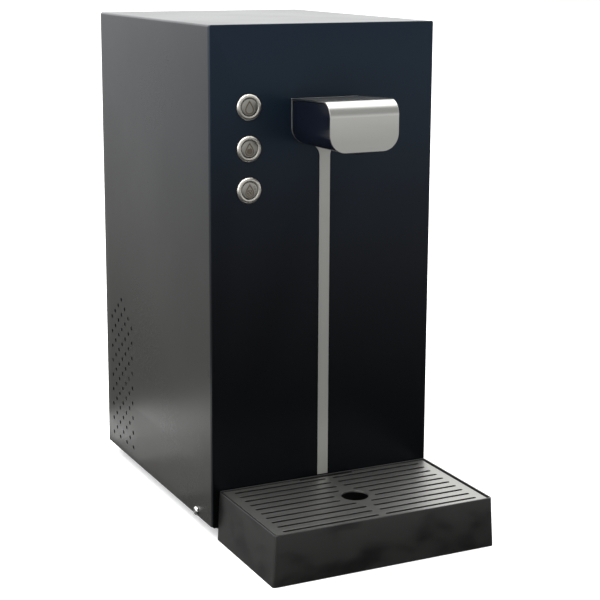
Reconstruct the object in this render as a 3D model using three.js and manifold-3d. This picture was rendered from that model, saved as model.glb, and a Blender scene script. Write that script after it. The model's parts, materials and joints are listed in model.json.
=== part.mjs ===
// Countertop water dispenser: a tall sheet-metal cabinet with a hooded spout, three push
// buttons and a loose drip tray. It chills and carbonates mains water.
//
// Millimetres, +Z up, +Y towards the rear. The origin is on the worktop, under the middle
// of the whole object. Touching pieces keep a gap of SEAM.

import * as THREE from 'three';
import { mergeVertices } from 'three/addons/utils/BufferGeometryUtils.js';
import Module from 'manifold-3d';

const wasm = await Module();
wasm.setup();

// ---- Driving dimensions -----------------------------------------------------------

// Cabinet
const WIDTH = 210;
const DEPTH = 272;
const HEIGHT = 440;
const FOOT_HEIGHT = 10;
const FOOT_X = 84.5;
const COVER_SHEET = 1.2;
const COVER_BEND = 2;
const PANEL_SHEET = 1.5;
const PANEL_DEPTH = 3.7;
const PANEL_CORNER = 1.5;
const REAR_FLANGE = 12;
const REAR_FITTINGS = 17;
const SEAM = 0.3;
const TUBE_GAP = 1;

// Drip tray and grate
const TRAY_DEPTH = 115;
const TRAY_HEIGHT = 43.5;
const TRAY_BOTTOM_WIDTH = 208.6;
const TRAY_TOP_WIDTH = 204;
const TRAY_FRONT_LEAN = 1;
const TRAY_OFFSET = 2.5;
const TRAY_RIM = 1.4;
const TRAY_WALL = 3.4;
const TRAY_FLOOR = 2.5;
const GRATE_SHEET = 1.5;
const GRATE_RECESS = 1;
const SLOT_COUNT = 10;
const SLOT_PITCH = 10.73;
const SLOT_WIDTH = 3;
const SLOT_OUTER = 91;
const SLOT_WEB = 6.6;
const DRAIN_RADIUS = 11.8;
const DRAIN_MARGIN = 5.7;
const NOTCH_WIDTH = 52;
const NOTCH_DEPTH = 2.3;

// Spout
const HOOD_WIDTH = 63;
const HOOD_TOP = 381;
const HOOD_RISE = 3;
const HOOD_BOTTOM = 339.5;
const HOOD_REACH = 71.5;
const HOOD_BEND = 13;
const HOOD_CORNER = 14.5;
const HOOD_SHEET = 1.5;
const HOOD_WALL = 2.2;
const PLATE_SHEET = 0.6;
const STRIP_WIDTH = 10;
const STRIP_FILLET = 11.5;
const NOZZLE_REACH = 56;
const NOZZLE_DROP = 2.5;
const TUBE_HOLE_Z = 366;

// Push buttons
const BUTTON_X = -70.5;
const BUTTON_MIDDLE_Z = 337.5;
const BUTTON_PITCH = 34.7;
const BEZEL_RADIUS = 11;
const BARREL_RADIUS = 9.5;
const CAP_RADIUS = 7.3;
const STEM_RADIUS = 5.4;

// Side vents and screws
const VENT_RADIUS = 1.5;
const VENT_PITCH_Y = 9.3;
const VENT_PITCH_Z = 14.93;
const VENT_COLUMNS = 7;
const VENT_REAR_GAP = 17.2;
const VENT_LOWEST = 23;
const SIDE_SCREW_Y = 36.3;
const SIDE_SCREW_Z = 14.2;
const SCREW_HEAD = 4;

// ---- Worked-out places -------------------------------------------------------------

const LENGTH = TRAY_DEPTH + DEPTH + REAR_FITTINGS;
const FRONT = TRAY_DEPTH - LENGTH / 2;
const REAR = FRONT + DEPTH;
const SIDE = WIDTH / 2;
const FLOOR = FOOT_HEIGHT;
const INNER_SIDE = SIDE - COVER_SHEET - 2 * SEAM;
const COVER_FRONT = FRONT + PANEL_DEPTH + SEAM;
const FRAME_FRONT = FRONT + PANEL_SHEET + SEAM;
const FRAME_DEPTH = 14;
const REAR_PANEL_OUTER = REAR - COVER_SHEET - SEAM;
const REAR_PANEL_INNER = REAR_PANEL_OUTER - COVER_SHEET;
const BASE_TOP = FLOOR + PANEL_SHEET;
const PLATE_BACK = FRONT - SEAM;
const PLATE_FRONT = PLATE_BACK - PLATE_SHEET;
const HOOD_BACK = PLATE_FRONT - SEAM;
const HOOD_FRONT = FRONT - HOOD_REACH;
const SHELF_Z = 190;
const TANK = { x: 82, y: [-30, 135], z: [SHELF_Z + 2, SHELF_Z + 195], wall: 16 };
const TANK_MIDDLE_Y = (TANK.y[0] + TANK.y[1]) / 2;
const LID_TOP = TANK.z[1] + SEAM + 15;
const FAN = { x: [-62, -40], y: 135, z: 86, half: 45, opening: 42 };
const INLET_X = 70;
const WATER_INLET_Z = 130;
const GAS_INLET_Z = 170;
const MAINS = { x: -50, z: 190, width: 48, height: 58 };
const SOCKET = { width: 24, height: 16, z: MAINS.z - 14 };
const ROCKER = { z: MAINS.z + 14, width: 20, height: 23, tilt: 10 };
const THERMOSTAT_Z = 212;

const FINISHES = {
  panelBlack: { color: 0x14171c, roughness: 0.42, metalness: 0.1 },
  coverBlack: { color: 0x2c2d2c, roughness: 0.5, metalness: 0.1 },
  stainless: { color: 0xb2b3ae, roughness: 0.3, metalness: 1 },
  chrome: { color: 0xd0d0cc, roughness: 0.12, metalness: 1 },
  grate: { color: 0x6c6c68, roughness: 0.4, metalness: 1 },
  trayBlack: { color: 0x1e1e1d, roughness: 0.6, metalness: 0 },
  spoutBlack: { color: 0x101216, roughness: 0.3, metalness: 0 },
  rubber: { color: 0x131313, roughness: 0.9, metalness: 0 },
  galvanised: { color: 0x9ea3a4, roughness: 0.5, metalness: 0.9 },
  compressor: { color: 0x0f0f10, roughness: 0.4, metalness: 0.3 },
  copper: { color: 0xb06a45, roughness: 0.35, metalness: 1 },
  aluminium: { color: 0xb8bbbd, roughness: 0.45, metalness: 1 },
  foam: { color: 0xe6e6e0, roughness: 0.9, metalness: 0 },
  plastic: { color: 0x17181a, roughness: 0.5, metalness: 0 },
  whitePlastic: { color: 0xdedfda, roughness: 0.5, metalness: 0 },
  hose: { color: 0xcfd6d8, roughness: 0.4, metalness: 0 },
  brass: { color: 0xb49a5a, roughness: 0.35, metalness: 1 },
  board: { color: 0x1d5a34, roughness: 0.6, metalness: 0 },
};

// ---- Making shapes ------------------------------------------------------------------

const dispenser = new THREE.Group();

/** Adds one named sub-part to the dispenser. */
function part(name, geometry, finish) {
  const mesh = new THREE.Mesh(geometry, new THREE.MeshStandardMaterial(FINISHES[finish]));
  mesh.name = name;
  dispenser.add(mesh);
}

/** A box from its lowest to its highest place along each axis. */
function block([x0, x1], [y0, y1], [z0, z1]) {
  const box = new THREE.BoxGeometry(x1 - x0, y1 - y0, z1 - z0);
  return box.translate((x0 + x1) / 2, (y0 + y1) / 2, (z0 + z1) / 2);
}

/** Turns a shape made about +Y to stand along x, y or z, and moves its axis to `at`. */
function alongAxis(geometry, axis, at) {
  if (axis === 'x') geometry.rotateZ(-Math.PI / 2);
  if (axis === 'z') geometry.rotateX(Math.PI / 2);
  const place = { x: [0, at[0], at[1]], y: [at[0], 0, at[1]], z: [at[0], at[1], 0] }[axis];
  return geometry.translate(...place);
}

/** A round bar from one place to another along an axis; `at` is its other two coordinates. */
function rod(axis, radius, [from, to], at, sides = 16) {
  const bar = new THREE.CylinderGeometry(radius, radius, to - from, sides);
  bar.translate(0, (from + to) / 2, 0);
  return alongAxis(bar, axis, at);
}

/** A turned piece. Its profile is a list of [radius, place along the axis], going up outside. */
function turned(axis, profile, at, sides = 18) {
  const points = profile.map(([radius, along]) => new THREE.Vector2(radius, along));
  return alongAxis(new THREE.LatheGeometry(points, sides), axis, at);
}

/** Extrudes a flat shape drawn in the xy, xz or yz plane, between two places on its normal. */
function extruded(plane, shape, [from, to], curveSegments = 6) {
  const options = { depth: to - from, bevelEnabled: false, curveSegments };
  const geometry = new THREE.ExtrudeGeometry(shape, options);
  const turn = new THREE.Matrix4();
  if (plane === 'xy') geometry.translate(0, 0, from);
  if (plane === 'xz') {
    const axes = [[1, 0, 0], [0, 0, 1], [0, -1, 0]].map((axis) => new THREE.Vector3(...axis));
    geometry.applyMatrix4(turn.makeBasis(...axes)).translate(0, to, 0);
  }
  if (plane === 'yz') {
    const axes = [[0, 1, 0], [0, 0, 1], [1, 0, 0]].map((axis) => new THREE.Vector3(...axis));
    geometry.applyMatrix4(turn.makeBasis(...axes)).translate(from, 0, 0);
  }
  return geometry;
}

/** A straight-sided outline through a list of points. */
function outline(points) {
  return new THREE.Shape(points.map(([a, b]) => new THREE.Vector2(a, b)));
}

/** A rectangle with round corners. */
function roundedRectangle([x0, x1], [y0, y1], radius) {
  const shape = new THREE.Shape();
  const turn = Math.PI / 2;
  shape.moveTo(x0 + radius, y0);
  shape.absarc(x1 - radius, y0 + radius, radius, -turn, 0, false);
  shape.absarc(x1 - radius, y1 - radius, radius, 0, turn, false);
  shape.absarc(x0 + radius, y1 - radius, radius, turn, 2 * turn, false);
  shape.absarc(x0 + radius, y0 + radius, radius, 2 * turn, 3 * turn, false);
  return shape;
}

/** A solid tube through a list of points. */
function tube(points, radius, steps = 20, sides = 8) {
  const path = new THREE.CatmullRomCurve3(points.map((point) => new THREE.Vector3(...point)));
  const section = new THREE.Shape().absarc(0, 0, radius, 0, 2 * Math.PI, false);
  const options = { steps, extrudePath: path, curveSegments: sides / 2 };
  return new THREE.ExtrudeGeometry(section, options);
}

/** Turns a closed geometry into a solid that can be joined and cut. */
function toSolid(geometry) {
  const bare = geometry.clone();
  bare.deleteAttribute('normal');
  bare.deleteAttribute('uv');
  const merged = mergeVertices(bare);
  const corners = merged.index.array;
  const triangles = [];
  for (let i = 0; i < corners.length; i += 3) {
    const [a, b, c] = corners.slice(i, i + 3);
    if (a !== b && b !== c && c !== a) triangles.push(a, b, c);
  }
  const vertProperties = new Float32Array(merged.attributes.position.array);
  const triVerts = new Uint32Array(triangles);
  return new wasm.Manifold(new wasm.Mesh({ numProp: 3, vertProperties, triVerts }));
}

/** Turns a solid back into a geometry. */
function toGeometry(solid) {
  const { vertProperties, triVerts } = solid.getMesh();
  const geometry = new THREE.BufferGeometry();
  geometry.setAttribute('position', new THREE.BufferAttribute(vertProperties, 3));
  geometry.setIndex(new THREE.BufferAttribute(triVerts, 1));
  geometry.computeVertexNormals();
  return geometry;
}

function join(first, ...others) {
  return toGeometry(others.reduce((sum, other) => sum.add(toSolid(other)), toSolid(first)));
}

function cut(first, ...tools) {
  return toGeometry(tools.reduce((rest, tool) => rest.subtract(toSolid(tool)), toSolid(first)));
}

function overlap(first, second) {
  return toGeometry(toSolid(first).intersect(toSolid(second)));
}

// ---- Cabinet ------------------------------------------------------------------------

/** The places of the vent holes as [y, z], in seven staggered columns with a pointed top. */
function ventPlaces() {
  const places = [];
  const middle = (VENT_COLUMNS - 1) / 2;
  for (let column = 0; column < VENT_COLUMNS; column += 1) {
    const y = REAR - VENT_REAR_GAP - column * VENT_PITCH_Y;
    const lowest = VENT_LOWEST + (column % 2) * (VENT_PITCH_Z / 2);
    const count = Math.abs(column - middle) <= 1 ? 10 : 9;
    for (let row = 0; row < count; row += 1) places.push([y, lowest + row * VENT_PITCH_Z]);
  }
  return places;
}

/** An inverted U, seen from the front, whose legs and top are `band` wide. */
function archOutline(band) {
  const inner = SIDE - band;
  const shape = new THREE.Shape();
  shape.moveTo(-SIDE, FLOOR);
  shape.lineTo(-SIDE, HEIGHT - COVER_BEND);
  shape.absarc(-SIDE + COVER_BEND, HEIGHT - COVER_BEND, COVER_BEND, Math.PI, Math.PI / 2, true);
  shape.absarc(SIDE - COVER_BEND, HEIGHT - COVER_BEND, COVER_BEND, Math.PI / 2, 0, true);
  shape.lineTo(SIDE, FLOOR);
  shape.lineTo(inner, FLOOR);
  shape.lineTo(inner, HEIGHT - band);
  shape.lineTo(-inner, HEIGHT - band);
  shape.lineTo(-inner, FLOOR);
  return shape;
}

function rearScrewPlaces() {
  const x = SIDE - REAR_FLANGE / 2 - 0.5;
  return [[-x, 40], [x, 40], [-x, 412], [x, 412]];
}

function wrapCover() {
  const shell = extruded('xz', archOutline(COVER_SHEET), [COVER_FRONT, REAR], 4);
  const flange = extruded('xz', archOutline(REAR_FLANGE), [REAR - COVER_SHEET, REAR], 4);
  const across = [-SIDE - 1, SIDE + 1];
  const vents = ventPlaces().map((place) => rod('x', VENT_RADIUS, across, place, 6));
  const sideHole = rod('x', 2.3, across, [FRONT + SIDE_SCREW_Y, SIDE_SCREW_Z], 10);
  const rearHoles = rearScrewPlaces().map((at) => rod('y', 2, [REAR - 3, REAR + 1], at, 10));
  part('wrap_cover', cut(join(shell, flange), ...vents, sideHole, ...rearHoles), 'coverBlack');
}

function basePlate() {
  const y = [COVER_FRONT + SEAM, REAR_PANEL_INNER - SEAM];
  const flangeY = [FRAME_FRONT + FRAME_DEPTH + 1, y[1]];
  const flangeTop = FLOOR + 28;
  const floor = block([-INNER_SIDE, INNER_SIDE], y, [FLOOR, BASE_TOP]);
  const left = block([-INNER_SIDE, -INNER_SIDE + PANEL_SHEET], flangeY, [FLOOR, flangeTop]);
  const right = block([INNER_SIDE - PANEL_SHEET, INNER_SIDE], flangeY, [FLOOR, flangeTop]);
  const across = [-SIDE, SIDE];
  const sideHole = rod('x', 1.9, across, [FRONT + SIDE_SCREW_Y, SIDE_SCREW_Z], 10);
  part('base_plate', cut(join(floor, left, right), sideHole), 'galvanised');
}

function buttonHeights() {
  return [1, 0, -1].map((step) => BUTTON_MIDDLE_Z + step * BUTTON_PITCH);
}

function frontHoles(clearance) {
  const through = [FRONT - 1, FRONT + PANEL_DEPTH + 1];
  const radius = BARREL_RADIUS + clearance;
  const holes = buttonHeights().map((z) => rod('y', radius, through, [BUTTON_X, z]));
  holes.push(rod('y', 7, through, [0, TUBE_HOLE_Z], 16));
  return holes;
}

function frontPanel() {
  const face = roundedRectangle([-SIDE, SIDE], [FLOOR, HEIGHT], PANEL_CORNER);
  const pan = extruded('xz', face, [FRONT, FRONT + PANEL_DEPTH], 3);
  const inside = [FRONT + PANEL_SHEET, FRONT + PANEL_DEPTH + 1];
  const across = [-SIDE + PANEL_SHEET, SIDE - PANEL_SHEET];
  const pocket = block(across, inside, [BASE_TOP, HEIGHT - PANEL_SHEET]);
  part('front_panel', cut(pan, pocket, ...frontHoles(0.3)), 'panelBlack');
}

function frontFrame() {
  const y = [FRAME_FRONT, FRAME_FRONT + FRAME_DEPTH];
  const z = [BASE_TOP + SEAM, HEIGHT - PANEL_SHEET - SEAM];
  const pan = block([-INNER_SIDE, INNER_SIDE], y, z);
  const inner = INNER_SIDE - COVER_SHEET;
  const behind = [y[0] + COVER_SHEET, y[1] + 1];
  const pocket = block([-inner, inner], behind, [z[0] + COVER_SHEET, z[1] - COVER_SHEET]);
  part('front_frame', cut(pan, pocket, ...frontHoles(0.5)), 'galvanised');
}

function rearPanel() {
  const y = [REAR_PANEL_INNER, REAR_PANEL_OUTER];
  const z = [BASE_TOP + SEAM, HEIGHT - COVER_SHEET - SEAM];
  const sheet = block([-INNER_SIDE, INNER_SIDE], y, z);
  const through = [REAR_PANEL_INNER - 1, REAR];
  const screwHoles = rearScrewPlaces().map((at) => rod('y', 1.9, through, at, 10));
  const inletPlaces = [[INLET_X, WATER_INLET_Z], [INLET_X, GAS_INLET_Z]];
  const inlets = inletPlaces.map((at) => rod('y', 7, through, at, 16));
  const halfWidth = MAINS.width / 2 + SEAM;
  const halfHeight = MAINS.height / 2 + SEAM;
  const mainsX = [MAINS.x - halfWidth, MAINS.x + halfWidth];
  const mains = block(mainsX, through, [MAINS.z - halfHeight, MAINS.z + halfHeight]);
  const shaft = rod('y', 4, through, [0, THERMOSTAT_Z], 12);
  part('rear_panel', cut(sheet, ...screwHoles, ...inlets, mains, shaft), 'coverBlack');
}

function feet() {
  const top = FLOOR - SEAM;
  const profile = [[0, 0], [10, 0], [11, 1], [12.5, top - 1.5], [12.5, top], [0, top]];
  for (const [end, y] of [['front', FRONT + 30], ['rear', REAR - 28]]) {
    part(`foot_${end}_left`, turned('z', profile, [-FOOT_X, y]), 'rubber');
    part(`foot_${end}_right`, turned('z', profile, [FOOT_X, y]), 'rubber');
  }
}

/** A pan-head screw whose head sits on the plane at 0 and points along +Y before it is turned. */
function screwProfile(length) {
  return [
    [0, -length], [1.5, -length], [1.5, SEAM], [SCREW_HEAD, SEAM],
    [SCREW_HEAD - 0.4, 1.8], [SCREW_HEAD - 1.6, 2.7], [0, 2.7],
  ];
}

function screws() {
  const at = [FRONT + SIDE_SCREW_Y, SIDE_SCREW_Z];
  const right = turned('x', screwProfile(6), at, 12);
  const left = turned('x', screwProfile(6), at, 12);
  left.translate(0, -at[0], 0).rotateZ(Math.PI).translate(0, at[0], 0);
  part('side_screw_left', left.translate(-SIDE, 0, 0), 'chrome');
  part('side_screw_right', right.translate(SIDE, 0, 0), 'chrome');
  rearScrewPlaces().forEach((place, index) => {
    const screw = turned('y', screwProfile(6), place, 12);
    part(`rear_screw_${index + 1}`, screw.translate(0, REAR, 0), 'chrome');
  });
}

// ---- Spout --------------------------------------------------------------------------

/**
 * The hood's outer form with its faces moved in by the given amounts. Its top rises by
 * HOOD_RISE from the back to the bend.
 */
function hoodForm({ top = 0, front = 0, side = 0, bottom = 0, back = HOOD_BACK }) {
  const y = HOOD_FRONT + front;
  const z = [HOOD_BOTTOM + bottom, HOOD_TOP - top];
  const bend = HOOD_BEND - front;
  const slope = HOOD_RISE / (HOOD_BACK - HOOD_FRONT - HOOD_BEND);
  const profile = new THREE.Shape();
  profile.moveTo(back, z[1] - slope * (back - y - bend));
  profile.lineTo(y + bend, z[1]);
  profile.absarc(y + bend, z[1] - bend, bend, Math.PI / 2, Math.PI, false);
  profile.lineTo(y, z[0]);
  profile.lineTo(back, z[0]);
  const half = HOOD_WIDTH / 2 - side;
  const corner = HOOD_CORNER - side;
  const face = new THREE.Shape();
  face.moveTo(-half, z[1] + 1);
  face.lineTo(-half, z[0] + corner);
  face.absarc(-half + corner, z[0] + corner, corner, Math.PI, 1.5 * Math.PI, false);
  face.absarc(half - corner, z[0] + corner, corner, 1.5 * Math.PI, 2 * Math.PI, false);
  face.lineTo(half, z[1] + 1);
  const depth = [HOOD_FRONT - 1, back + 1];
  return overlap(extruded('yz', profile, [-half, half], 5), extruded('xz', face, depth, 5));
}

function spoutBackPlate() {
  const half = HOOD_WIDTH / 2;
  const corner = HOOD_CORNER;
  const bottom = HOOD_BOTTOM;
  const top = HOOD_TOP - HOOD_RISE;
  const strip = STRIP_WIDTH / 2;
  const fillet = STRIP_FILLET;
  const end = TRAY_HEIGHT + 1;
  const quarter = Math.PI / 2;
  const shape = new THREE.Shape();
  shape.moveTo(-half, top);
  shape.lineTo(-half, bottom + corner);
  shape.absarc(-half + corner, bottom + corner, corner, 2 * quarter, 3 * quarter, false);
  shape.absarc(-strip - fillet, bottom - fillet, fillet, quarter, 0, true);
  shape.lineTo(-strip, end);
  shape.lineTo(strip, end);
  shape.absarc(strip + fillet, bottom - fillet, fillet, 2 * quarter, quarter, true);
  shape.absarc(half - corner, bottom + corner, corner, 3 * quarter, 4 * quarter, false);
  shape.lineTo(half, top);
  const plate = extruded('xz', shape, [PLATE_FRONT, PLATE_BACK], 5);
  const tubeHole = rod('y', 7, [PLATE_FRONT - 1, PLATE_BACK + 1], [0, TUBE_HOLE_Z], 16);
  part('spout_back_plate', cut(plate, tubeHole), 'stainless');
}

function spoutHood() {
  const past = HOOD_BACK + 3;
  const under = { top: HOOD_SHEET, front: HOOD_SHEET, side: -1, bottom: -2, back: past };
  part('spout_cover', cut(hoodForm({}), hoodForm(under)), 'stainless');
  const skin = HOOD_SHEET + SEAM;
  const inner = skin + HOOD_WALL;
  const body = hoodForm({ top: skin, front: skin, side: 0.5 });
  const hollow = hoodForm({ top: inner, front: inner, side: 2.7, bottom: HOOD_WALL, back: past });
  const nozzleHole = rod('z', 8.5, [HOOD_BOTTOM - 1, HOOD_BOTTOM + 4], [0, FRONT - NOZZLE_REACH]);
  part('spout_body', cut(body, hollow, nozzleHole), 'spoutBlack');
}

function nozzle() {
  const tip = HOOD_BOTTOM - NOZZLE_DROP;
  const seat = HOOD_BOTTOM + HOOD_WALL + SEAM;
  const profile = [
    [4, tip], [7, tip], [8.2, tip + 1.2], [8.2, seat], [11, seat],
    [11, seat + 2], [7, seat + 2], [7, seat + 9], [4, seat + 9], [4, tip],
  ];
  part('nozzle', turned('z', profile, [0, FRONT - NOZZLE_REACH]), 'spoutBlack');
}

// ---- Push buttons -------------------------------------------------------------------

/** Turned about an axis that points out of the front panel, with 0 on the panel's face. */
function frontTurned(profile, z, sides) {
  const piece = turned('y', profile, [0, 0], sides);
  return piece.rotateZ(Math.PI).translate(BUTTON_X, FRONT, z);
}

function buttons() {
  const bore = CAP_RADIUS + 0.25;
  const stemBore = STEM_RADIUS + 0.35;
  const housing = [
    [0, -34], [6.5, -34], [6.5, -22], [BARREL_RADIUS, -22], [BARREL_RADIUS, SEAM],
    [BEZEL_RADIUS, SEAM], [BEZEL_RADIUS, 0.9], [10.2, 1.9], [8.5, 2.2], [bore, 1.8],
    [bore, -6], [stemBore, -6], [stemBore, -21], [0, -21],
  ];
  const cap = [
    [0, -17], [STEM_RADIUS, -17], [STEM_RADIUS, -3], [CAP_RADIUS, -3],
    [CAP_RADIUS, 1.5], [CAP_RADIUS - 0.4, 1.9], [0, 1.9],
  ];
  const nutBack = FRAME_FRONT + COVER_SHEET + SEAM;
  buttonHeights().forEach((z, index) => {
    const name = `button_${index + 1}`;
    part(`${name}_housing`, frontTurned(housing, z, 24), 'chrome');
    part(`${name}_cap`, frontTurned(cap, z, 24), 'stainless');
    const at = [BUTTON_X, z];
    const hexagon = rod('y', 13, [nutBack, nutBack + 3], at, 6);
    const thread = rod('y', BARREL_RADIUS + 0.2, [nutBack - 1, nutBack + 4], at);
    part(`${name}_nut`, cut(hexagon, thread), 'brass');
  });
}

// ---- Drip tray ----------------------------------------------------------------------

/** A block that narrows towards its top: its sides lean in and its front leans back. */
function leaningBlock(inset, bottom, top) {
  const lean = (TRAY_BOTTOM_WIDTH - TRAY_TOP_WIDTH) / 2;
  const half = TRAY_BOTTOM_WIDTH / 2 - inset;
  const y = [FRONT - TRAY_DEPTH + inset, FRONT - SEAM - inset];
  const corner = Math.max(2.5 - inset, 0.8);
  const shape = roundedRectangle([-half, half], y, corner);
  const geometry = extruded('xy', shape, [bottom, top], 3);
  const position = geometry.attributes.position;
  for (let i = 0; i < position.count; i += 1) {
    const rise = Math.min(position.getZ(i), TRAY_HEIGHT) / TRAY_HEIGHT;
    const x = position.getX(i) - Math.sign(position.getX(i)) * lean * rise;
    const towardsFront = (y[1] - position.getY(i)) / (y[1] - y[0]);
    position.setX(i, x + TRAY_OFFSET);
    position.setY(i, position.getY(i) + TRAY_FRONT_LEAN * rise * towardsFront);
  }
  return geometry;
}

function dripTray() {
  const ledge = TRAY_HEIGHT - GRATE_RECESS - GRATE_SHEET - SEAM;
  const outer = leaningBlock(0, 0, TRAY_HEIGHT);
  const rebate = leaningBlock(TRAY_RIM, ledge, TRAY_HEIGHT + 1);
  const basin = leaningBlock(TRAY_WALL, TRAY_FLOOR, TRAY_HEIGHT + 1);
  part('drip_tray', cut(outer, rebate, basin), 'trayBlack');
}

/** A slot with round ends, from x0 to x1 about the line at y. */
function slot(x0, x1, y) {
  const radius = SLOT_WIDTH / 2;
  const hole = new THREE.Path();
  hole.absarc(x1 - radius, y, radius, -Math.PI / 2, Math.PI / 2, false);
  hole.absarc(x0 + radius, y, radius, Math.PI / 2, 1.5 * Math.PI, false);
  return hole;
}

function dripGrate() {
  const half = TRAY_TOP_WIDTH / 2 - TRAY_RIM - SEAM;
  const y = [FRONT - TRAY_DEPTH + TRAY_FRONT_LEAN + TRAY_RIM + SEAM, FRONT - 2 * SEAM - TRAY_RIM];
  const notch = NOTCH_WIDTH / 2;
  const corners = [
    [-half, y[0]], [half, y[0]], [half, y[1]], [notch, y[1]], [notch, y[1] - NOTCH_DEPTH],
    [-notch, y[1] - NOTCH_DEPTH], [-notch, y[1]], [-half, y[1]],
  ];
  const shape = outline(corners);
  const middle = (y[0] + y[1]) / 2;
  const clear = DRAIN_RADIUS + DRAIN_MARGIN;
  for (let row = 0; row < SLOT_COUNT; row += 1) {
    const offset = (row - (SLOT_COUNT - 1) / 2) * SLOT_PITCH;
    const chord = Math.sqrt(Math.max(clear ** 2 - offset ** 2, 0));
    const inner = Math.max(SLOT_WEB / 2, chord);
    shape.holes.push(slot(inner, SLOT_OUTER, middle + offset));
    shape.holes.push(slot(-SLOT_OUTER, -inner, middle + offset));
  }
  const top = TRAY_HEIGHT - GRATE_RECESS;
  const plate = extruded('xy', shape, [top - GRATE_SHEET, top], 2);
  const drain = rod('z', DRAIN_RADIUS, [top - GRATE_SHEET - 1, top + 1], [0, middle]);
  part('drip_grate', cut(plate, drain).translate(TRAY_OFFSET, 0, 0), 'grate');
}

// ---- Refrigeration ------------------------------------------------------------------

function compressor() {
  const profile = [
    [0, 24], [36, 24], [50, 32], [52, 45], [52, 115], [44, 135], [25, 147], [0, 150],
  ];
  const can = turned('z', profile, [0, 0], 20).scale(1.2, 1, 1).translate(18, 12, 0);
  const mount = block([-55, 91], [-36, 60], [20, 24.5]);
  const feetPlaces = [[-48, -30], [84, -30], [-48, 54], [84, 54]];
  const legs = feetPlaces.map((at) => rod('z', 7, [BASE_TOP + SEAM, 21], at, 12));
  part('compressor', join(can, mount, ...legs), 'compressor');
}

function condenser() {
  const fins = 13;
  const z = [16, 156];
  const pitch = (z[1] - z[0]) / (2 * fins - 1);
  const points = [[-96, z[0]], [-64, z[0]]];
  for (let fin = 0; fin < fins; fin += 1) {
    const low = z[0] + 2 * fin * pitch;
    if (fin > 0) points.push([-72, low], [-64, low]);
    points.push([-64, low + pitch]);
    if (fin < fins - 1) points.push([-72, low + pitch]);
  }
  points.push([-96, z[1]]);
  part('condenser', extruded('xz', outline(points), [98, 172]), 'aluminium');
}

function fan() {
  const [x0, x1] = FAN.x;
  const y = [FAN.y - FAN.half, FAN.y + FAN.half];
  const z = [FAN.z - FAN.half, FAN.z + FAN.half];
  const centre = [FAN.y, FAN.z];
  const ring = cut(block([x0, x1], y, z), rod('x', FAN.opening, [x0 - 1, x1 + 1], centre, 32));
  const strut = [x1 - 3, x1];
  const across = block(strut, [FAN.y - 43, FAN.y + 43], [FAN.z - 2, FAN.z + 2]);
  const upright = block(strut, [FAN.y - 2, FAN.y + 2], [FAN.z - 43, FAN.z + 43]);
  const motor = rod('x', 16, [x1 - 6, x1], centre);
  const leg = block([x0, x1], [FAN.y - 20, FAN.y + 20], [BASE_TOP + SEAM, z[0] + 1]);
  part('fan_frame', join(ring, across, upright, motor, leg), 'plastic');

  const hub = rod('x', 15, [x0 + 1, x1 - 7], [0, 0]);
  const blades = [];
  for (let index = 0; index < 5; index += 1) {
    const blade = new THREE.BoxGeometry(2, 13, 28);
    blade.rotateZ(0.6).translate(0, 0, 26);
    blade.rotateX((index / 5) * 2 * Math.PI).translate((x0 + x1 - 6) / 2, 0, 0);
    blades.push(blade);
  }
  const rotor = join(hub, ...blades).translate(0, FAN.y, FAN.z);
  part('fan_rotor', rotor, 'plastic');
}

function filterDrier() {
  const profile = [
    [0, 26], [3, 26], [3, 34], [11, 40], [11, 115], [3, 121], [3, 130], [0, 130],
  ];
  part('filter_drier', turned('z', profile, [-15, 88], 16), 'copper');
}

function tankShelf() {
  const y = [FRAME_FRONT + FRAME_DEPTH + 2, 140];
  const top = [SHELF_Z, SHELF_Z + PANEL_SHEET];
  const drop = [SHELF_Z - 14, top[1]];
  const half = INNER_SIDE - SEAM;
  const sheet = block([-half, half], y, top);
  const left = block([-half, -half + PANEL_SHEET], y, drop);
  const right = block([half - PANEL_SHEET, half], y, drop);
  const pipe = rod('z', 8, [SHELF_Z - 1, SHELF_Z + 3], [-92, 25], 12);
  part('tank_shelf', cut(join(sheet, left, right), pipe), 'galvanised');
}

function coldTank() {
  const { x, y, z, wall } = TANK;
  const box = extruded('xy', roundedRectangle([-x, x], y, 12), z, 3);
  const inside = roundedRectangle([-x + wall, x - wall], [y[0] + wall, y[1] - wall], 8);
  const bath = extruded('xy', inside, [z[0] + wall, z[1] + 1], 3);
  part('cold_tank', cut(box, bath), 'foam');
  const lid = extruded('xy', roundedRectangle([-x, x], y, 12), [z[1] + SEAM, LID_TOP], 3);
  part('tank_lid', lid, 'foam');
}

function evaporatorCoil() {
  const turns = 5;
  const radius = 52;
  const points = [];
  for (let step = 0; step <= turns * 8; step += 1) {
    const angle = (step / 8) * 2 * Math.PI;
    const z = TANK.z[0] + 35 + step * 2.8;
    points.push([radius * Math.cos(angle), TANK_MIDDLE_Y + radius * Math.sin(angle), z]);
  }
  part('evaporator_coil', tube(points, 4, turns * 10, 6), 'copper');
}

function refrigerantTubes() {
  const discharge = [
    [-44.9, 12, 100], [-52, 12, 101], [-62, 30, 125], [-72, 66, 162],
    [-80, 92, 174], [-82, 108, 170], [-82, 112, 157],
  ];
  part('discharge_tube', tube(discharge, 3), 'copper');
  const suction = [
    [-50, 70, LID_TOP + TUBE_GAP], [-50, 70, 409], [-66, 62, 419], [-87, 48, 405], [-92, 40, 340],
    [-92, 30, 240], [-92, 25, 180], [-84, 20, 120], [-60, 13, 71], [-45.5, 12, 70],
  ];
  part('suction_tube', tube(suction, 3.5, 28), 'copper');
}

// ---- Water and gas ------------------------------------------------------------------

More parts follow.
